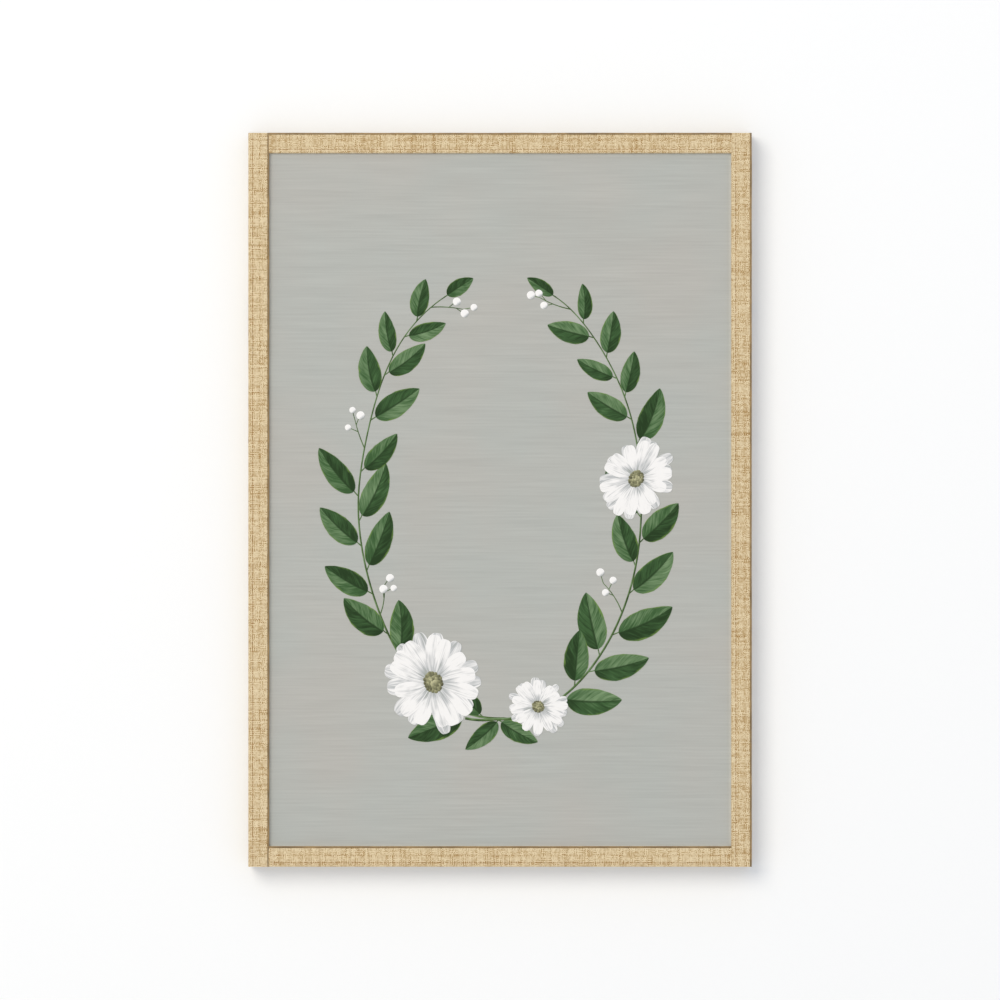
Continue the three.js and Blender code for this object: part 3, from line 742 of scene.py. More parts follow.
class FRAMEDPICTURE_OT_strips(bpy.types.Operator):
    """Lay the dark strip in each rail's step"""

    bl_idname = "framed_picture.strips"
    bl_label = "Edge strips"

    def execute(self, context):
        look = context.scene.framed_picture.linen
        # each strip's dark colour is painted shade along the rail's edge
        wood = strip_material(look)
        for member in INWARD:
            node = f"{member}_edge_strip"
            low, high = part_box(node)
            axis = 2 if member.endswith("stile") else 0
            inward = INWARD[member]
            at_sight = STRIP_AT_SIGHT[member]
            slack = abs((high - low).dot(inward)) - look.strip_width
            shift = inward * (slack / 2 if at_sight else -slack / 2)
            shift += inward * strip_overhang(look, member)
            trim = Vector([abs(c) * slack / 2 for c in inward])
            bm = box_mesh(low + trim + shift, high - trim + shift)
            rounded(bm, edges_along(bm, axis, LONG), 0.5 * MM, 3)
            cut_along(bm, axis, LONG, 3 * MM)
            grain = bm.loops.layers.uv.new("grain")
            for face in bm.faces:
                for loop in face.loops:
                    co = loop.vert.co
                    loop[grain].uv = (co[2 - axis] + co.y, co[axis])
            for vert in bm.verts:
                sway = noise.noise(Vector((vert.co[axis] / (38 * MM), axis, low.x)))
                vert.co.y += 0.1 * MM * sway
                vert.co[2 - axis] += 0.3 * MM * sway
            finish_piece(bm, f"{member}_dark_strip", [wood], replaces=[node])
        return {"FINISHED"}


# ---- Canvas --------------------------------------------------------------------------------

COTTON_THREAD = 0.9 * MM  # spacing of the canvas's threads
CANVAS_RETURN = 26 * MM  # how far the canvas is turned in on the stretcher's back
PRIMED_COTTON, RAW_COTTON = 0xECEAE2, 0xDCCFB0


def ground_material(look):
    """Matt acrylic ground on primed canvas: grey-green, laid on in level strokes of a wide brush.

    The strokes' ridges are about 1.3 mm apart and are drawn at twice that, so that they show.
    """
    material, add = surface("matt_acrylic_ground", Roughness=0.85, Specular_IOR_Level=0.3)
    place = add("TexCoord").outputs["Object"]
    level = add("Mapping", place, Scale=(1 / (95 * MM), 1.0, 1 / (2.6 * MM)))
    bristle = add("TexNoise", level, Scale=1.0, Detail=3.0)
    broad = add("Mapping", place, Scale=(1 / (260 * MM), 1.0, 1 / (16 * MM)))
    stroke = add("TexNoise", broad, Scale=1.0, Detail=2.0)
    cloud = add("TexNoise", place, Scale=1 / (150 * MM), Detail=2.0)
    hue = add("MapRange", cloud, 0.35, 0.68)
    base = add("Mix", Factor=hue, A=look.ground, B=look.ground_warm, data_type="RGBA")
    light = add("Math MULTIPLY_ADD", stroke, 0.45, bristle)
    gain = add("MapRange", light, 0.42, 1.02, 0.93, 1.07)
    # painted light: the ground is lighter in the last millimetres by the frame, to offset the shade
    # that the rails cast onto the canvas there
    outward = add("VectorMath ABSOLUTE", add("VectorMath SUBTRACT", place, MIDDLE))
    past = add("VectorMath SUBTRACT", outward, (SIGHT_X, 0, SIGHT_Z))
    past_x, _, past_z = add("SeparateXYZ", past).outputs
    rim = add("MapRange", add("Math MAXIMUM", past_x, past_z), -4 * MM, 0.0, 1.0, 1.22)
    _, height = woven(add, place, COTTON_THREAD)
    ridge = add("Math MULTIPLY_ADD", height, 0.15, bristle)
    return dressed(
        material,
        Base_Color=add("VectorMath SCALE", base, Scale=add("Math MULTIPLY", gain, rim)),
        Normal=add("Bump", Strength=0.5, Distance=0.25 * MM, Height=ridge))


def cotton_material(name, shade):
    """Cotton duck, plain-woven at 0.9 mm: primed white where it is turned over, raw inside."""
    material, add = surface(name, Roughness=0.95, Specular_IOR_Level=0.2)
    place = add("TexCoord").outputs["Object"]
    turned = add("Mapping", place, Rotation=(math.pi / 2, 0, 0))
    tone, height = woven(add, turned, COTTON_THREAD)
    return dressed(
        material,
        Base_Color=add("ValToRGB", tone, stops=((0.1, toned(shade, 0.62)), (0.7, shade))),
        Normal=add("Bump", Strength=0.5, Distance=0.25 * MM, Height=height))


TUCK = [(1.0, 1.0, 0.55), (26.5, 26.5, 0.6), (36.0, 1.0, -0.1)]  # in, up or down, out: mm


def add_tuck(bm, side, inward, level, reach):
    """Lays the flap of a folded canvas corner on the back, its free edge along the mitre."""
    corner = side - level * reach
    points = [corner + (inward * a + level * b + Vector((0, c, 0))) * MM for a, b, c in TUCK]
    flap = bm.faces.new([bm.verts.new(point) for point in points])
    flap.normal_update()
    if flap.normal.y < 0:
        flap.normal_flip()


class FRAMEDPICTURE_OT_canvas(bpy.types.Operator):
    """Stretch the canvas over its bars and fold its corners"""

    bl_idname = "framed_picture.canvas"
    bl_label = "Canvas"

    def execute(self, context):
        look = context.scene.framed_picture.painting
        turn_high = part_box("canvas_turnover")[1]
        bm = box_mesh(CANVAS_LOW, turn_high)
        back = max(bm.faces, key=lambda f: f.normal.y)
        bmesh.ops.inset_region(
            bm, faces=[back], thickness=CANVAS_RETURN, use_even_offset=True)
        bmesh.ops.delete(bm, geom=[back], context="FACES")
        ease(bm, 0.9 * MM, 0.0, segments=3)
        for axis in (0, 2):
            cut_along(bm, axis, LONG, 3 * CLOTH_STEP)
        for x, z in CORNERS:
            add_tuck(bm, Vector((x * turn_high.x, CANVAS_BACK, MIDDLE.z)),
                     Vector((-x, 0, 0)), Vector((0, 0, -z)), turn_high.z - MIDDLE.z)
        for face in bm.faces:
            face.material_index = 0 if face.normal.y < -0.5 else 1
        materials = [
            ground_material(look),
            cotton_material("primed_cotton_duck", linear(PRIMED_COTTON)),
            cotton_material("raw_cotton_duck", linear(RAW_COTTON))]
        cloth = finish_piece(
            bm, "stretched_canvas", materials,
            replaces=["canvas", "canvas_turnover"])
        wall = cloth.modifiers.new("cloth thickness", "SOLIDIFY")
        wall.thickness = CANVAS_HIGH.y - CANVAS_LOW.y
        wall.offset = -1.0
        wall.material_offset = 2
        face = CANVAS_HIGH - CANVAS_LOW
        return {"FINISHED"}


# ---- Painted wreath ------------------------------------------------------------------------
# The wreath is drawn in (x, z) from the middle of the picture. Each dab of paint is a thin sheet
# that follows a spine, is crowned a little and closes down onto the canvas.

PAINT_SINK = 0.05 * MM  # how far a dab's underside lies in the cloth
TO_SHADE = Vector((0.6, -0.8))  # from a round dab's light side to its shaded one


def paint_mesh():
    """A bmesh that can take dabs of paint."""
    bm = bmesh.new()
    bm.loops.layers.uv.new("dab")
    bm.verts.layers.float.new("seed")
    bm.verts.layers.float.new("tint")
    return bm


def dab(bm, spine, half_width, lift, crown, along, across, seed, tint=0.0):
    """Adds one dab: spine(t) is its middle line and half_width(t) its half width, t from 0 to 1.

    The dab's coordinates are (across, along), both 0 to 1.
    """
    uv = bm.loops.layers.uv["dab"]
    seeds = bm.verts.layers.float["seed"]
    tints = bm.verts.layers.float["tint"]
    sheet = bmesh.ops.create_grid(bm, x_segments=along, y_segments=across, size=1.0)["verts"]
    faces = list({f for v in sheet for f in v.link_faces})
    for vert in sheet:
        vert.co.x = math.sin(math.pi / 2 * vert.co.x)  # shorter steps towards the two ends
    for face in faces:
        for loop in face.loops:
            loop[uv].uv = ((loop.vert.co.y + 1) / 2, (loop.vert.co.x + 1) / 2)
    widest = max(half_width(i / 20) for i in range(21))
    for vert in sheet:
        t, a = (vert.co.x + 1) / 2, vert.co.y
        here = spine(t)
        way = (spine(min(1.0, t + 0.01)) - spine(max(0.0, t - 0.01))).normalized()
        wide = half_width(t)
        rag = 1 + 0.05 * noise.noise(Vector((9 * t, 2 * a, 31 * seed)))
        point = here + Vector((-way.y, way.x)) * wide * a * rag
        full = wide / widest
        ridge = 0.03 * MM * noise.noise(Vector((5 * a, 2 * t, 17 * seed)))
        height = lift + (crown * (1 - a * a) + ridge * (1 - a ** 4)) * full
        vert.co = Vector((point.x, CANVAS_LOW.y - height, MIDDLE.z + point.y))
        vert[seeds] = seed
        vert[tints] = tint
    bmesh.ops.remove_doubles(bm, verts=sheet, dist=0.0005 * MM)
    faces = [f for f in faces if f.is_valid]
    under = bmesh.ops.extrude_face_region(bm, geom=faces, use_keep_orig=True)
    for g in under["geom"]:
        if isinstance(g, bmesh.types.BMVert):
            g.co.y = CANVAS_LOW.y + PAINT_SINK


def lance(width):
    """A leaf's half width: round at the base, widest at two fifths, drawn out to a point."""
    peak = 0.41 ** 0.55 * 0.59 ** 0.8
    return lambda t: width / 2 * (max(t, 0) ** 0.55 * max(1 - t, 0) ** 0.8) / peak


def paddle(width):
    """A petal's half width: narrow at the root and blunt at the tip."""
    peak = 0.66 ** 0.6 * 0.34 ** 0.3
    return lambda t: width / 2 * (max(t, 0) ** 0.6 * max(1 - t, 0) ** 0.3) / peak


def disc(radius):
    """A round dab's half width."""
    return lambda t: radius * math.sqrt(max(0.0, 1 - (2 * t - 1) ** 2))


def bowed(base, way, length, bow):
    """A line from a base along a direction, that bows to its left by a share of its length."""
    left = Vector((-way.y, way.x))
    return lambda t: base + way * (length * t) + left * (bow * length * t * t)


def turned_by(way, degrees):
    """A flat direction turned counterclockwise."""
    a = math.radians(degrees)
    return Vector((way.x * math.cos(a) - way.y * math.sin(a),
                   way.x * math.sin(a) + way.y * math.cos(a)))


class Wreath:
    """Two branches that cross at the bottom, with leaves, berries and daisies."""

    START = -104.0  # degrees round the oval, where a branch starts
    SWEEP = 171.0

    def __init__(self, look):
        self.look = look
        self.draw = random.Random(look.seed)
        self.leaves, self.stems, self.berries, self.petals, self.centres = (
            paint_mesh() for _ in range(5))
        # middle, radius, the direction in degrees in which it is foreshortened, and by how much
        self.daisies = [
            (self.branch(-1)(0.27) + Vector((0.012, 0.004)), 0.074, 24, 0.86),
            (self.branch(1)(0.64) + Vector((-0.006, 0.0)), 0.060, -35, 0.80),
            (self.branch(1)(0.17) + Vector((0.0, 0.006)), 0.043, 60, 0.9)]

    def branch(self, side):
        """A branch's line: the right one where side is 1, the left where it is -1."""
        def line(t):
            angle = math.radians(self.START + self.SWEEP * t)
            flare = 1 + 0.35 * max(0.0, 0.07 - t)
            wobble = 4 * MM * noise.noise(Vector((5 * t, 3 * side, 0.7)))
            x = side * (self.look.wreath_width / 2 * flare * math.cos(angle) + wobble)
            z = self.look.wreath_height / 2 * flare * math.sin(angle) + 0.6 * wobble
            return Vector((x, z))
        return line

    def near_daisy(self, point, share):
        """Whether a point is nearer to a daisy's middle than a share of its radius."""
        return any((point - at).length < share * radius for at, radius, *_ in self.daisies)

    def stem(self, line, thick, thin, steps, lift=0.12 * MM):
        """A tapered stroke along a line."""
        width = lambda t: (thick + (thin - thick) * t) / 2
        dab(self.stems, line, width, lift, 0.08 * MM, steps, 3, self.draw.random())

    def leaf(self, base, way, length, bow, lift):
        """A leaf on a short stalk."""
        stalk = 0.12 * length
        self.stem(bowed(base, way, stalk * 1.5, bow), 1.7 * MM, 1.2 * MM, 4)
        line = bowed(base + way * stalk, way, length, bow)
        width = length * self.draw.uniform(0.42, 0.52)
        dab(self.leaves, line, lance(width), lift, 0.12 * MM, 20, 8, self.draw.random(),
            tint=self.draw.random())

    def spot(self, bm, middle, radius, lift, crown, along, across, tint=0.0):
        """A round dab, stroked from its light side to its shaded one."""
        line = bowed(middle - TO_SHADE * radius, TO_SHADE, 2 * radius, 0)
        dab(bm, line, disc(radius), lift, crown, along, across, self.draw.random(), tint)

    def sprig(self, base, way, reach, count):
        """A stalk that ends in a few berries."""
        draw = self.draw
        bow = draw.uniform(-0.25, 0.25)
        main = bowed(base, way, reach, bow)
        self.stem(main, 1.5 * MM, 0.9 * MM, 8)
        for i in range(count):
            fork = main(1 - 0.22 * i)
            turn = (38 * (-1) ** i * (i > 0)) + draw.uniform(-9, 9)
            reach_out = draw.uniform(11, 16) * MM
            twig = bowed(fork, turned_by(way, turn), reach_out, draw.uniform(-0.2, 0.2))
            self.stem(twig, 1.1 * MM, 0.8 * MM, 4)
            radius = self.look.berry * draw.uniform(0.82, 1.12)
            self.spot(self.berries, twig(1.0), radius, 0.22 * MM, 0.5 * MM, 12, 10)

    def daisy(self, at, radius, tilt, squash):
        """Two rings of petals round a stippled centre, seen a little from the side."""
        draw = self.draw
        axis = turned_by(Vector((1, 0)), tilt)

        def leaned(point):
            off = point - at
            return at + off - axis * (off.dot(axis) * (1 - squash))

        for ring, (count, reach, shade) in enumerate(((13, 1.0, 0.55), (14, 0.93, 0.0))):
            turn = draw.uniform(0, 360)
            order = list(range(count))
            draw.shuffle(order)
            for place, i in enumerate(order):
                angle = math.radians(turn + 360 * (i + draw.uniform(-0.2, 0.2)) / count)
                way = Vector((math.cos(angle), math.sin(angle)))
                length = radius * reach * draw.uniform(0.76, 0.90)
                flat = bowed(at + way * 0.10 * radius, way, length, draw.uniform(-0.12, 0.12))
                width = radius * draw.uniform(0.25, 0.32)
                lift = (0.42 + 0.28 * ring + 0.012 * place) * MM  # each lies on the one before
                dab(self.petals, lambda t: leaned(flat(t)), paddle(width), lift, 0.14 * MM,
                    18, 8, draw.random(), tint=shade + draw.uniform(0, 0.25))
        rings = 5  # of dabs in the centre, laid from the outside in
        for ring in range(rings, 0, -1):
            for i in range(4 * ring - 2):
                angle = math.tau * (i + draw.random() * 0.6) / (4 * ring - 2)
                off = Vector((math.cos(angle), math.sin(angle))) * 0.033 * radius * ring
                lift = (1.02 + 0.03 * (rings - ring)) * MM
                self.spot(self.centres, leaned(at + off), radius * draw.uniform(0.030, 0.042),
                          lift, 0.25 * MM, 6, 5, tint=1 - ring / rings)

    def paint(self):
        """Lays down both branches from their roots to their tips, then the daisies on top."""
        draw = self.draw
        for side in (-1, 1):
            line = self.branch(side)
            self.stem(line, 3.4 * MM, 1.3 * MM, 120, lift=0.12 * MM + 0.08 * MM * (side > 0))
            around = math.pi * (self.look.wreath_width + self.look.wreath_height) / 2
            length = around * self.SWEEP / 360
            count = int(length / self.look.leaf_spacing)
            for i in range(2, count):
                t = i / count + draw.uniform(-0.004, 0.004)
                base = line(t)
                way = (line(t + 0.01) - line(t - 0.01)).normalized()
                hand = 1 if i % 2 else -1
                turn = hand * side * draw.uniform(36, 50)
                grown = self.look.leaf * (1 - 0.42 * t ** 3) * draw.uniform(0.82, 1.06)
                grown *= 0.75 if t < 0.12 else 1.0
                bow = -hand * side * draw.uniform(0.04, 0.22)
                if i % 7 == 4 and not self.near_daisy(base, 1.1):
                    self.sprig(base, turned_by(way, turn * 0.9), draw.uniform(34, 46) * MM, 3)
                elif not self.near_daisy(base, 0.6):
                    lift = (0.24 + 0.13 * (i % 3)) * MM
                    self.leaf(base, turned_by(way, turn), grown, bow, lift)
            tip = line(1.0)
            way = (tip - line(0.98)).normalized()
            self.leaf(tip, way, 0.52 * self.look.leaf, 0.05 * side, 0.3 * MM)
        for daisy in self.daisies:
            self.daisy(*daisy)


def dab_coordinates(add):
    """What every paint reads: a point's place across and along its dab, the dab's seed and tint."""
    across, along, _ = add("SeparateXYZ", add("UVMap", uv_map="dab")).outputs
    seed, tint = (
        add("Attribute", attribute_name=name).outputs["Fac"] for name in ("seed", "tint"))
    return across, along, seed, tint


def leaf_material(look):
    """Green acrylic leaves: strokes drawn from the midrib to the rim, one half lighter.

    A bristle's mark is about 1.3 mm wide on a leaf 78 mm long.
    """
    material, add = surface("green_acrylic_leaves", Roughness=0.65, Specular_IOR_Level=0.15)
    across, along, seed, tint = dab_coordinates(add)
    signed = add("Math MULTIPLY_ADD", across, 2.0, -1.0)
    out = add("Math ABSOLUTE", signed)
    vein = add("Math MULTIPLY_ADD", out, -0.3, along)
    shift = add("Math MULTIPLY", seed, 40.0)
    fine_at = add("CombineXYZ", add("Math MULTIPLY", vein, 30.0),
                  add("Math MULTIPLY_ADD", signed, 1.3, 5.0), shift)
    fine = add("TexNoise", fine_at, Scale=1.0, Detail=3.0)
    wide_at = add("CombineXYZ", add("Math MULTIPLY", vein, 6.0),
                  add("Math MULTIPLY_ADD", signed, 1.1, 9.0), shift)
    wide = add("TexNoise", wide_at, Scale=1.0, Detail=2.0)
    # which half is the lighter one, -1 or 1, follows from the tint
    hand = add("Math MULTIPLY_ADD", add("Math GREATER_THAN", tint, 0.5), 2.0, -1.0)
    lit = add("MapRange", add("Math MULTIPLY", signed, hand), -0.06, 0.06, -0.1, 0.16,
              interpolation_type="SMOOTHSTEP")
    strokes = add("Math ADD", add("Math MULTIPLY", fine, 0.55), add("Math MULTIPLY", wide, 0.5))
    own = add("Math MULTIPLY_ADD", seed, 0.14, -0.12)
    root = add("MapRange", along, 0.0, 0.3, -0.14, 0.0)
    tone = add("Math ADD", add("Math ADD", strokes, lit), add("Math ADD", own, root))
    greens = add("ValToRGB", tone, stops=(
        (0.26, look.leaf_dark), (0.86, look.leaf_light), (0.52, look.leaf_green)))
    past = add("Math SUBTRACT", out, add("Math MULTIPLY_ADD", wide, 0.5, 0.62))
    rim = add("MapRange", past, 0.0, 0.18, 0.0, 0.75, interpolation_type="SMOOTHSTEP")
    edged = add("Mix", Factor=rim, A=greens, B=look.leaf_edge, data_type="RGBA")
    off_rib = add("Math MULTIPLY_ADD", along, 0.05, out)
    rib = add("MapRange", off_rib, 0.03, 0.15, 0.85, 0.0, interpolation_type="SMOOTHSTEP")
    return dressed(
        material,
        Base_Color=add("Mix", Factor=rib, A=edged, B=look.leaf_dark, data_type="RGBA"),
        Normal=add("Bump", Strength=0.5, Distance=0.25 * MM, Height=fine))


def petal_material(look):
    """Thick white acrylic petals: lengthwise bristle marks, grey in the hollows and at the root."""
    material, add = surface("white_acrylic_petals", Roughness=0.65, Specular_IOR_Level=0.15)
    across, along, seed, tint = dab_coordinates(add)
    signed = add("Math MULTIPLY_ADD", across, 2.0, -1.0)
    shift = add("Math MULTIPLY", seed, 40.0)
    streak_at = add("CombineXYZ", add("Math MULTIPLY", signed, 6.5),
                    add("Math MULTIPLY", along, 1.6), shift)
    streak = add("TexNoise", streak_at, Scale=1.0, Detail=3.0)
    patch_at = add("CombineXYZ", add("Math MULTIPLY", signed, 1.2),
                   add("Math MULTIPLY", along, 2.6), shift)
    patch = add("TexNoise", patch_at, Scale=1.0, Detail=1.0)
    tone = add("Math MULTIPLY_ADD", streak, 0.65, add("Math MULTIPLY", patch, 0.45))
    root = add("MapRange", along, 0.05, 0.55, -0.2, 0.06)
    tone = add("Math ADD", add("Math MULTIPLY_ADD", tint, -0.28, tone), root)
    return dressed(
        material,
        Base_Color=add("ValToRGB", tone, stops=(
            (0.16, look.petal_base), (0.55, look.petal_white), (0.33, look.petal_grey))),
        Normal=add("Bump", Strength=0.6, Distance=0.3 * MM, Height=streak))


def stem_material(look):
    """Thin green acrylic stems, darker along one side, from a rigger brush."""
    material, add = surface("green_acrylic_stems", Roughness=0.65, Specular_IOR_Level=0.15)
    across, *_ = dab_coordinates(add)
    mottle = add("TexNoise", add("TexCoord").outputs["Object"], Scale=1 / (16 * MM), Detail=2.0)
    tone = add("Math MULTIPLY_ADD", mottle, 0.8, add("Math MULTIPLY", across, 0.35))
    return dressed(material, Base_Color=add("ValToRGB", tone, stops=(
        (0.34, look.leaf_dark), (0.86, look.leaf_light), (0.6, look.stem))))


def berry_material(look):
    """White acrylic berries: light at the upper left, a soft grey crescent at the lower right."""
    material, add = surface("white_acrylic_berries", Roughness=0.55, Specular_IOR_Level=0.35)
    across, along, seed, _ = dab_coordinates(add)
    swirl_at = add("CombineXYZ", add("Math MULTIPLY", across, 5.0),
                   add("Math MULTIPLY", along, 3.0), add("Math MULTIPLY", seed, 40.0))
    swirl = add("TexNoise", swirl_at, Scale=1.0, Detail=2.0)
    tone = add("Math SUBTRACT", add("Math MULTIPLY_ADD", swirl, 0.35, 0.92),
               add("Math POWER", along, 1.6))
    return dressed(material, Base_Color=add("ValToRGB", tone, stops=(
        (0.05, look.petal_base), (0.62, look.petal_white), (0.3, look.petal_grey))))


def centre_material(look):
    """Stippled flower centres: grey-olive dabs, lighter towards the middle."""
    material, add = surface("olive_acrylic_stipple", Roughness=0.65, Specular_IOR_Level=0.15)
    _, along, seed, tint = dab_coordinates(add)
    tone = add("Math MULTIPLY_ADD", seed, 0.5, add("Math MULTIPLY", tint, 0.4))
    tone = add("Math ADD", tone, add("Math MULTIPLY_ADD", along, -0.4, 0.2))
    return dressed(material, Base_Color=add("ValToRGB", tone, stops=(
        (0.05, toned(look.centre, 0.42)), (0.85, look.centre_light), (0.4, look.centre))))


class FRAMEDPICTURE_OT_wreath(bpy.types.Operator):
    """Paint the wreath of leaves, berries and daisies"""

    bl_idname = "framed_picture.wreath"
    bl_label = "Painted wreath"

    def execute(self, context):
        look = context.scene.framed_picture.painting
        wreath = Wreath(look)
        wreath.paint()
        for bm, name, paint in (
                (wreath.stems, "painted_stems", stem_material(look)),
                (wreath.leaves, "painted_leaves", leaf_material(look)),
                (wreath.berries, "painted_berries", berry_material(look)),
                (wreath.petals, "painted_petals", petal_material(look)),
                (wreath.centres, "painted_flower_centres", centre_material(look))):
            bmesh.ops.recalc_face_normals(bm, faces=bm.faces)
            finish_piece(bm, name, [paint])
        return {"FINISHED"}


# ---- Timber --------------------------------------------------------------------------------


def pine_material(look, axis):
    """Planed pine along an axis: pale early wood, fine darker late-wood lines 2 to 6 mm apart."""
    material, add = surface(
        f"planed_pine_{'xyz'[axis]}", Roughness=0.62, Specular_IOR_Level=0.35)
    place = add("TexCoord").outputs["Object"]

    def stretched(across, along):
        scale = [1 / (across * MM)] * 3
        scale[axis] = 1 / (along * MM)
        return add("Mapping", place, Scale=scale)

    growth = add("TexNoise", stretched(26, 520), Scale=1.0, Detail=1.0, Distortion=0.4)
    wave = add("Math SINE", add("Math MULTIPLY", growth, 130.0))
    ring = add("Math POWER", add("Math MULTIPLY_ADD", wave, 0.5, 0.5), 2.4)
    fibre = add("TexNoise", stretched(0.9, 34), Scale=1.0, Detail=3.0)
    cloud = add("TexNoise", stretched(30, 120), Scale=1.0, Detail=1.0)
    banded = add("Math MULTIPLY_ADD", ring, 0.3, fibre)
    tone = add("Math MULTIPLY_ADD", cloud, 0.5, banded)
    return dressed(
        material,
        Base_Color=add("ValToRGB", tone, stops=(
            (0.55, look.pine), (1.0, look.pine_late), (0.82, toned(look.pine, 0.88)))),
        Normal=add("Bump", Strength=0.35, Distance=0.12 * MM, Height=banded))


def beech_material(look):
    """Sawn beech: even pinkish tan with short dark flecks about 2 mm long."""
    material, add = surface("sawn_beech", Roughness=0.6, Specular_IOR_Level=0.35)
    place = add("TexCoord").outputs["Object"]
    flecks = add("TexVoronoi", place, Scale=1 / (1.2 * MM))
    fibre = add("TexNoise", place, Scale=1 / (1.6 * MM), Detail=3.0)
    tone = add("Math MULTIPLY_ADD", flecks, 0.6, fibre)
    return dressed(material, Base_Color=add("ValToRGB", tone, stops=(
        (0.4, look.beech_fleck), (0.72, look.beech))))


class FRAMEDPICTURE_OT_timber(bpy.types.Operator):
    """Plane the rails, the stretcher and its keys"""

    bl_idname = "framed_picture.timber"
    bl_label = "Timber"

    def execute(self, context):
        look = context.scene.framed_picture.timber
        level, upright = pine_material(look, 0), pine_material(look, 2)
        beech = beech_material(look)
        for node in sorted(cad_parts):
            pine = upright if "stile" in node or "long_bar" in node else level
            if node.startswith("stretcher"):
                eased_node(node, "planed", pine, look.ease, 20 * MM)
            elif node.endswith("_core"):
                eased_node(node, "planed", pine, 0.6 * look.ease, 20 * MM)
            elif node.startswith("key"):
                eased_node(node, "wedge", beech, 0.4 * MM, 2 * MM)
            elif node.startswith("dowel"):
                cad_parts[node].data.materials.clear()
                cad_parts[node].data.materials.append(beech)
        return {"FINISHED"}


# ---- Hardware ------------------------------------------------------------------------------

SCREW_HEAD = 1.9 * MM  # height of a screw's head


def plated_material(name, shade, roughness):
    """Plated steel: smooth, with fine rolling marks and faint stains in its gloss."""
    material, add = surface(name, Metallic=1.0)
    place = add("TexCoord").outputs["Object"]
    rolled = add("Mapping", place, Scale=(1 / (0.4 * MM), 1 / (0.4 * MM), 1 / (6 * MM)))
    marks = add("TexNoise", rolled, Scale=1.0, Detail=3.0)
    stain = add("TexNoise", place, Scale=1 / (9 * MM), Detail=2.0)
    return dressed(
        material,
        Roughness=add("MapRange", stain, 0.3, 0.7, roughness * 0.8, roughness * 1.25),
        Base_Color=add("ValToRGB", stain, stops=((0.3, toned(shade, 0.88)), (0.6, shade))),
        Normal=add("Bump", Strength=0.15, Distance=0.05 * MM, Height=marks))


def rubber_material(look):
    """Soft milky rubber, moulded: a dull sheen and faint dust."""
    material, add = surface(
        "soft_milky_rubber", Roughness=0.38, Coat_Weight=0.2, Coat_Roughness=0.25)
    place = add("TexCoord").outputs["Object"]
    dust = add("TexNoise", place, Scale=1 / (1.5 * MM), Detail=3.0)
    return dressed(material, Base_Color=add("ValToRGB", dust, stops=(
        (0.35, toned(look.rubber, 0.93)), (0.6, look.rubber))))


def arc(steps):
    """The cosine and sine of each angle of a quarter turn, in steps."""
    return [(math.cos(a), math.sin(a))
            for a in (math.pi / 2 * i / steps for i in range(steps + 1))]


def screw_mesh():
    """A pan-head wood screw along Y, its head's underside at 0, with a cross recess."""
    shank, head, length, point = 1.6 * MM, 3.3 * MM, 13 * MM, 3 * MM
    pitch, root = 1.1 * MM, 1.15 * MM
    thread = []
    for i in range(int((length - point - 2 * MM) / pitch)):
        y = point - length + i * pitch
        thread += [(root, y), (shank, y + 0.5 * pitch)]
    dome = [(head * c, SCREW_HEAD * (0.42 + 0.58 * s)) for c, s in arc(6)]
    screw = spun(
        [(0, -length), *thread, (root, -2 * MM), (shank, -1.5 * MM), (shank, 0), (head, 0),
         *dome[:-1], (0, SCREW_HEAD)], 28)
    arm, wide, deep = 1.7 * MM, 0.35 * MM, 1.1 * MM
    for x, z in ((arm, wide), (wide, arm)):
        screw = carved(screw, box_mesh(
            Vector((-x, SCREW_HEAD - deep, -z)), Vector((x, SCREW_HEAD + MM, z))))
    return kept_mesh(screw, "screw")


def bumper_shape(low, high):
    """A round bumper in a frame node's box, flat towards the wall, with a rounded rim."""
    radius, rim = (high.x - low.x) / 2, 1.1 * MM
    dome = [(radius - rim * (1 - c), high.y - rim * (1 - s)) for c, s in arc(5)]
    bm = spun([(0, low.y), (radius, low.y), *dome, (0, high.y)], 40)
    bmesh.ops.translate(bm, verts=bm.verts, vec=((low.x + high.x) / 2, 0, (low.z + high.z) / 2))
    return bm


def staple_mesh(look):
    """A staple's crown along X with its legs turned down into the wood, on its +Y side."""
    half = look.staple_crown / 2
    bm = box_mesh(Vector((-half, 0, -0.55 * MM)), Vector((half, 0.5 * MM, 0.55 * MM)))
    rounded(bm, edges_along(bm, 0, half), 0.15 * MM, 1)
    cut_along(bm, 0, half, MM)
    for vert in bm.verts:
        t = abs(vert.co.x) / half
        vert.co.y += 0.25 * MM - 1.3 * MM * max(0.0, (t - 0.75) / 0.25) ** 2
    return kept_mesh(bm, "staple")


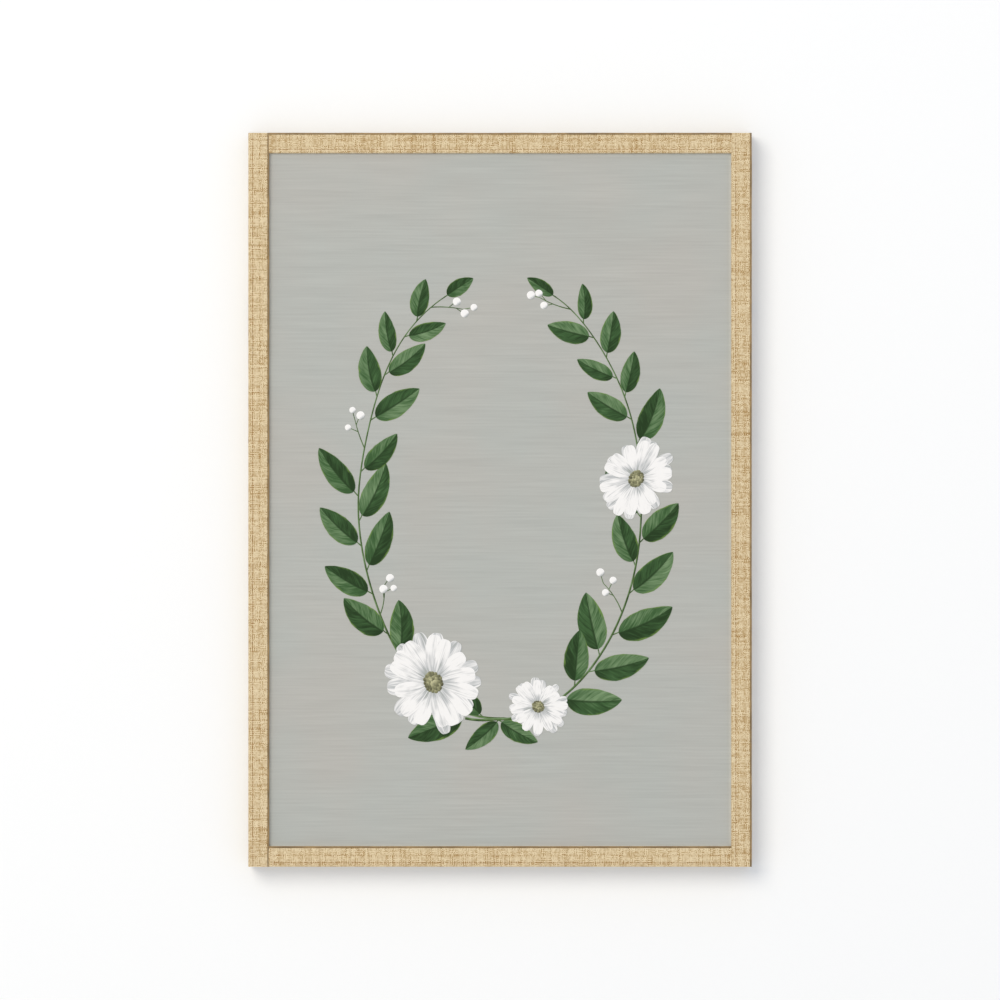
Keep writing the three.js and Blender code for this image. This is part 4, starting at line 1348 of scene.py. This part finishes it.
class FRAMEDPICTURE_OT_hardware(bpy.types.Operator):
    """Fit the clips, straps, rings, screws, staples and bumpers"""

    bl_idname = "framed_picture.hardware"
    bl_label = "Hardware"

    def execute(self, context):
        look = context.scene.framed_picture.hardware
        zinc = plated_material("zinc_plated_steel", look.zinc, 0.38)
        nickel = plated_material("nickel_plated_steel", look.nickel, 0.26)
        rubber = rubber_material(look)
        screw = screw_mesh()
        for node in sorted(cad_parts):
            low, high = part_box(node)
            steel, slot = (
                (zinc, "zinc_steel") if node.startswith("clip") else (nickel, "nickel_steel"))
            if "_screw_" in node:
                bm = bmesh.new()
                x, _, z = (low + high) / 2
                stamp(bm, screw, Matrix.Translation((x, high.y - SCREW_HEAD, z))
                      @ Matrix.Rotation(7.3 * x + 3.1 * z, 4, "Y"))
                finish_piece(bm, f"{node}_turned", [steel], replaces=[node])
            elif node.startswith("clip"):
                eased_node(node, "pressed", steel, 0.35 * MM, 0.9 * MM)
            elif node.startswith("hanger_strap"):
                eased_node(node, "rolled", steel, 0.15 * MM, 9 * MM)
            elif node.startswith("hanger_ring"):
                bm = merged_copy(node)
                bmesh.ops.join_triangles(
                    bm, faces=bm.faces, angle_face_threshold=0.5, angle_shape_threshold=1.2)
                ring = finish_piece(
                    bm, f"{node}_bent", [steel], replaces=[node],
                    body="left_ring" if node.endswith("left") else "right_ring")
                round_off = ring.modifiers.new("round wire", "SUBSURF")
                round_off.levels = round_off.render_levels = 1
            elif node.startswith("bumper"):
                finish_piece(
                    bumper_shape(low, high), f"{node}_moulded", [rubber],
                    replaces=[node])
        self.add_staples(look, zinc)
        return {"FINISHED"}

    def add_staples(self, look, zinc):
        """Fixes the canvas's returns to the bars."""
        draw = random.Random(3)
        staple = staple_mesh(look)
        bm = bmesh.new()
        inset, from_corner = 11 * MM, 45 * MM
        for axis, reach, other in ((0, CANVAS_HIGH.x, CANVAS_HIGH.z - MIDDLE.z),
                                   (2, CANVAS_HIGH.z - MIDDLE.z, CANVAS_HIGH.x)):
            count = int(2 * (reach - from_corner) / look.staple_pitch)
            for end in (-1, 1):
                for i in range(count + 1):
                    along = (i - count / 2) * look.staple_pitch
                    # clear of the clips, 150 mm off the middle at the sides, else in the middle
                    if axis == 2 and abs(abs(along) - 150 * MM) < 15 * MM:
                        along += 20 * MM
                    if axis == 0 and abs(along) < 16 * MM:
                        along += 24 * MM
                    place = Vector((0, CANVAS_BACK, MIDDLE.z))
                    place[axis] += along
                    place[2 - axis] += end * (other - inset)
                    turn = draw.uniform(-0.14, 0.14) + (math.pi / 2 if axis == 2 else 0)
                    stamp(bm, staple, Matrix.Translation(place) @ Matrix.Rotation(turn, 4, "Y"))
        for x, z in CORNERS:
            place = Vector((x * (CANVAS_HIGH.x - 19 * MM), CANVAS_BACK + 0.35 * MM,
                            MIDDLE.z + z * (CANVAS_HIGH.z - MIDDLE.z - 9 * MM)))
            turn = math.copysign(math.radians(38), x * z)
            stamp(bm, staple, Matrix.Translation(place) @ Matrix.Rotation(turn, 4, "Y"))
        finish_piece(bm, "canvas_staples", [zinc])


# ---- Studio --------------------------------------------------------------------------------

PHOTO_WIDTH = 1000  # pixels; the frame's outer edges in the photograph, also in pixels
PHOTO_LEFT, PHOTO_RIGHT = 248.3, 751.8
PHOTO_TOP, PHOTO_BOTTOM = 132.8, 866.8
SENSOR = 36.0  # mm
STAGE_REACH = 6.0  # metres; half the side of the wall and of the floor
KEY_FROM = Vector((-5.6, -11.3, 5.85))  # metres from the picture's middle to the key light
KEY_SIZE = 7.6  # metres
KEY_COLOUR, DOME_COLOUR, GLOW_COLOUR = 0xFFF5E2, 0xF3F7FF, 0x94CBFF


def stage_material(name, shade, glow=0.0):
    """Matt emulsion paint with a faint roller texture, see-through from behind."""
    material, add = surface(
        name, Roughness=0.95, Specular_IOR_Level=0.0, Emission_Color=linear(GLOW_COLOUR),
        Emission_Strength=glow)
    place = add("TexCoord").outputs["Object"]
    roller = add("TexNoise", place, Scale=1 / (3 * MM), Detail=2.0)
    dressed(material, Base_Color=add(
        "Mix", Factor=roller, A=shade, B=toned(shade, 0.985), data_type="RGBA"))
    nodes = material.node_tree.nodes
    seen = add("MixShader", add("NewGeometry").outputs["Backfacing"], nodes["Principled BSDF"],
               add("BsdfTransparent"))
    feed(material, nodes["Material Output"].inputs["Surface"], seen)
    return material


def stage_sheet(name, material, centre, turn):
    """A flat square of the studio, which is no part of the picture."""
    bm = bmesh.new()
    bmesh.ops.create_grid(bm, x_segments=1, y_segments=1, size=STAGE_REACH)
    bmesh.ops.transform(bm, matrix=Matrix.Translation(centre) @ turn, verts=bm.verts)
    sheet = new_object(bm, name, [material])
    return sheet


class FRAMEDPICTURE_OT_studio(bpy.types.Operator):
    """Set up the wall, the floor, the light and the camera"""

    bl_idname = "framed_picture.studio"
    bl_label = "Studio"

    def execute(self, context):
        look = context.scene.framed_picture.studio
        scene = context.scene
        low, high = CAD_BOX
        middle = (low + high) / 2

        floor_z = middle.z - look.floor_below
        wall = stage_sheet(
            "studio_wall", stage_material("white_wall_paint", look.wall, look.glow),
            Vector((0, high.y + GAP, floor_z + STAGE_REACH)),
            Matrix.Rotation(math.pi / 2, 4, "X"))
        # it only catches the picture's shadow, and neither hides nor throws back any light
        wall.visible_shadow = wall.visible_diffuse = wall.visible_glossy = False
        stage_sheet(
            "studio_floor", stage_material("pale_floor_paint", look.floor),
            Vector((0, high.y - STAGE_REACH, floor_z)), Matrix.Identity(4))

        world = bpy.data.worlds.new("studio_dome")
        world.use_nodes = True
        backdrop = world.node_tree.nodes["Background"]
        backdrop.inputs["Color"].default_value = linear(DOME_COLOUR)
        backdrop.inputs["Strength"].default_value = look.dome
        scene.world = world

        softbox = bpy.data.lights.new("key_softbox", "AREA")
        softbox.energy = look.key
        softbox.color = linear(KEY_COLOUR)[:3]
        softbox.size = KEY_SIZE
        key = bpy.data.objects.new("key_softbox", softbox)
        scene.collection.objects.link(key)
        key.location = middle + KEY_FROM
        key.rotation_euler = (middle - key.location).to_track_quat("-Z", "Y").to_euler()
        key.visible_camera = False

        per_pixel = (high.x - low.x) / (PHOTO_RIGHT - PHOTO_LEFT)
        lens = bpy.data.cameras.new("portrait_camera")
        lens.lens = look.lens
        lens.sensor_width = SENSOR
        camera = bpy.data.objects.new("portrait_camera", lens)
        scene.collection.objects.link(camera)
        away = PHOTO_WIDTH * per_pixel * look.lens / SENSOR
        camera.location = (
            middle.x - ((PHOTO_LEFT + PHOTO_RIGHT) / 2 - PHOTO_WIDTH / 2) * per_pixel,
            low.y - away,
            middle.z + ((PHOTO_TOP + PHOTO_BOTTOM) / 2 - PHOTO_WIDTH / 2) * per_pixel)
        camera.rotation_euler = (math.pi / 2, 0, 0)
        scene.camera = camera
        scene.view_settings.view_transform = "Standard"
        return {"FINISHED"}


# ---- Add-on --------------------------------------------------------------------------------

OPERATORS = (
    FRAMEDPICTURE_OT_studio,
    FRAMEDPICTURE_OT_linen,
    FRAMEDPICTURE_OT_stitches,
    FRAMEDPICTURE_OT_strips,
    FRAMEDPICTURE_OT_canvas,
    FRAMEDPICTURE_OT_wreath,
    FRAMEDPICTURE_OT_timber,
    FRAMEDPICTURE_OT_hardware,
)


class FRAMEDPICTURE_PT_panel(bpy.types.Panel):
    """Lists the picture's pieces and their settings"""

    bl_idname = "FRAMEDPICTURE_PT_panel"
    bl_label = "Framed picture"
    bl_space_type = "VIEW_3D"
    bl_region_type = "UI"
    bl_category = "Picture"

    def draw(self, context):
        settings = context.scene.framed_picture
        for operator in OPERATORS:
            self.layout.operator(operator.bl_idname)
        for group in (settings.linen, settings.painting, settings.timber,
                      settings.hardware, settings.studio):
            box = self.layout.box()
            for name in group.__annotations__:
                box.prop(group, name)


CLASSES = (
    LinenSettings, PaintingSettings, TimberSettings, HardwareSettings, StudioSettings,
    PictureSettings, *OPERATORS, FRAMEDPICTURE_PT_panel,
)


def register():
    for cls in CLASSES:
        bpy.utils.register_class(cls)
    bpy.types.Scene.framed_picture = PointerProperty(type=PictureSettings)


def unregister():
    del bpy.types.Scene.framed_picture
    for cls in reversed(CLASSES):
        bpy.utils.unregister_class(cls)


def main():
    """Builds every piece in order."""
    register()
    bpy.ops.framed_picture.studio()
    bpy.ops.framed_picture.linen()
    bpy.ops.framed_picture.stitches()
    bpy.ops.framed_picture.strips()
    bpy.ops.framed_picture.canvas()
    bpy.ops.framed_picture.wreath()
    bpy.ops.framed_picture.timber()
    bpy.ops.framed_picture.hardware()
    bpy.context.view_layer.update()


if __name__ == "__main__":
    main()
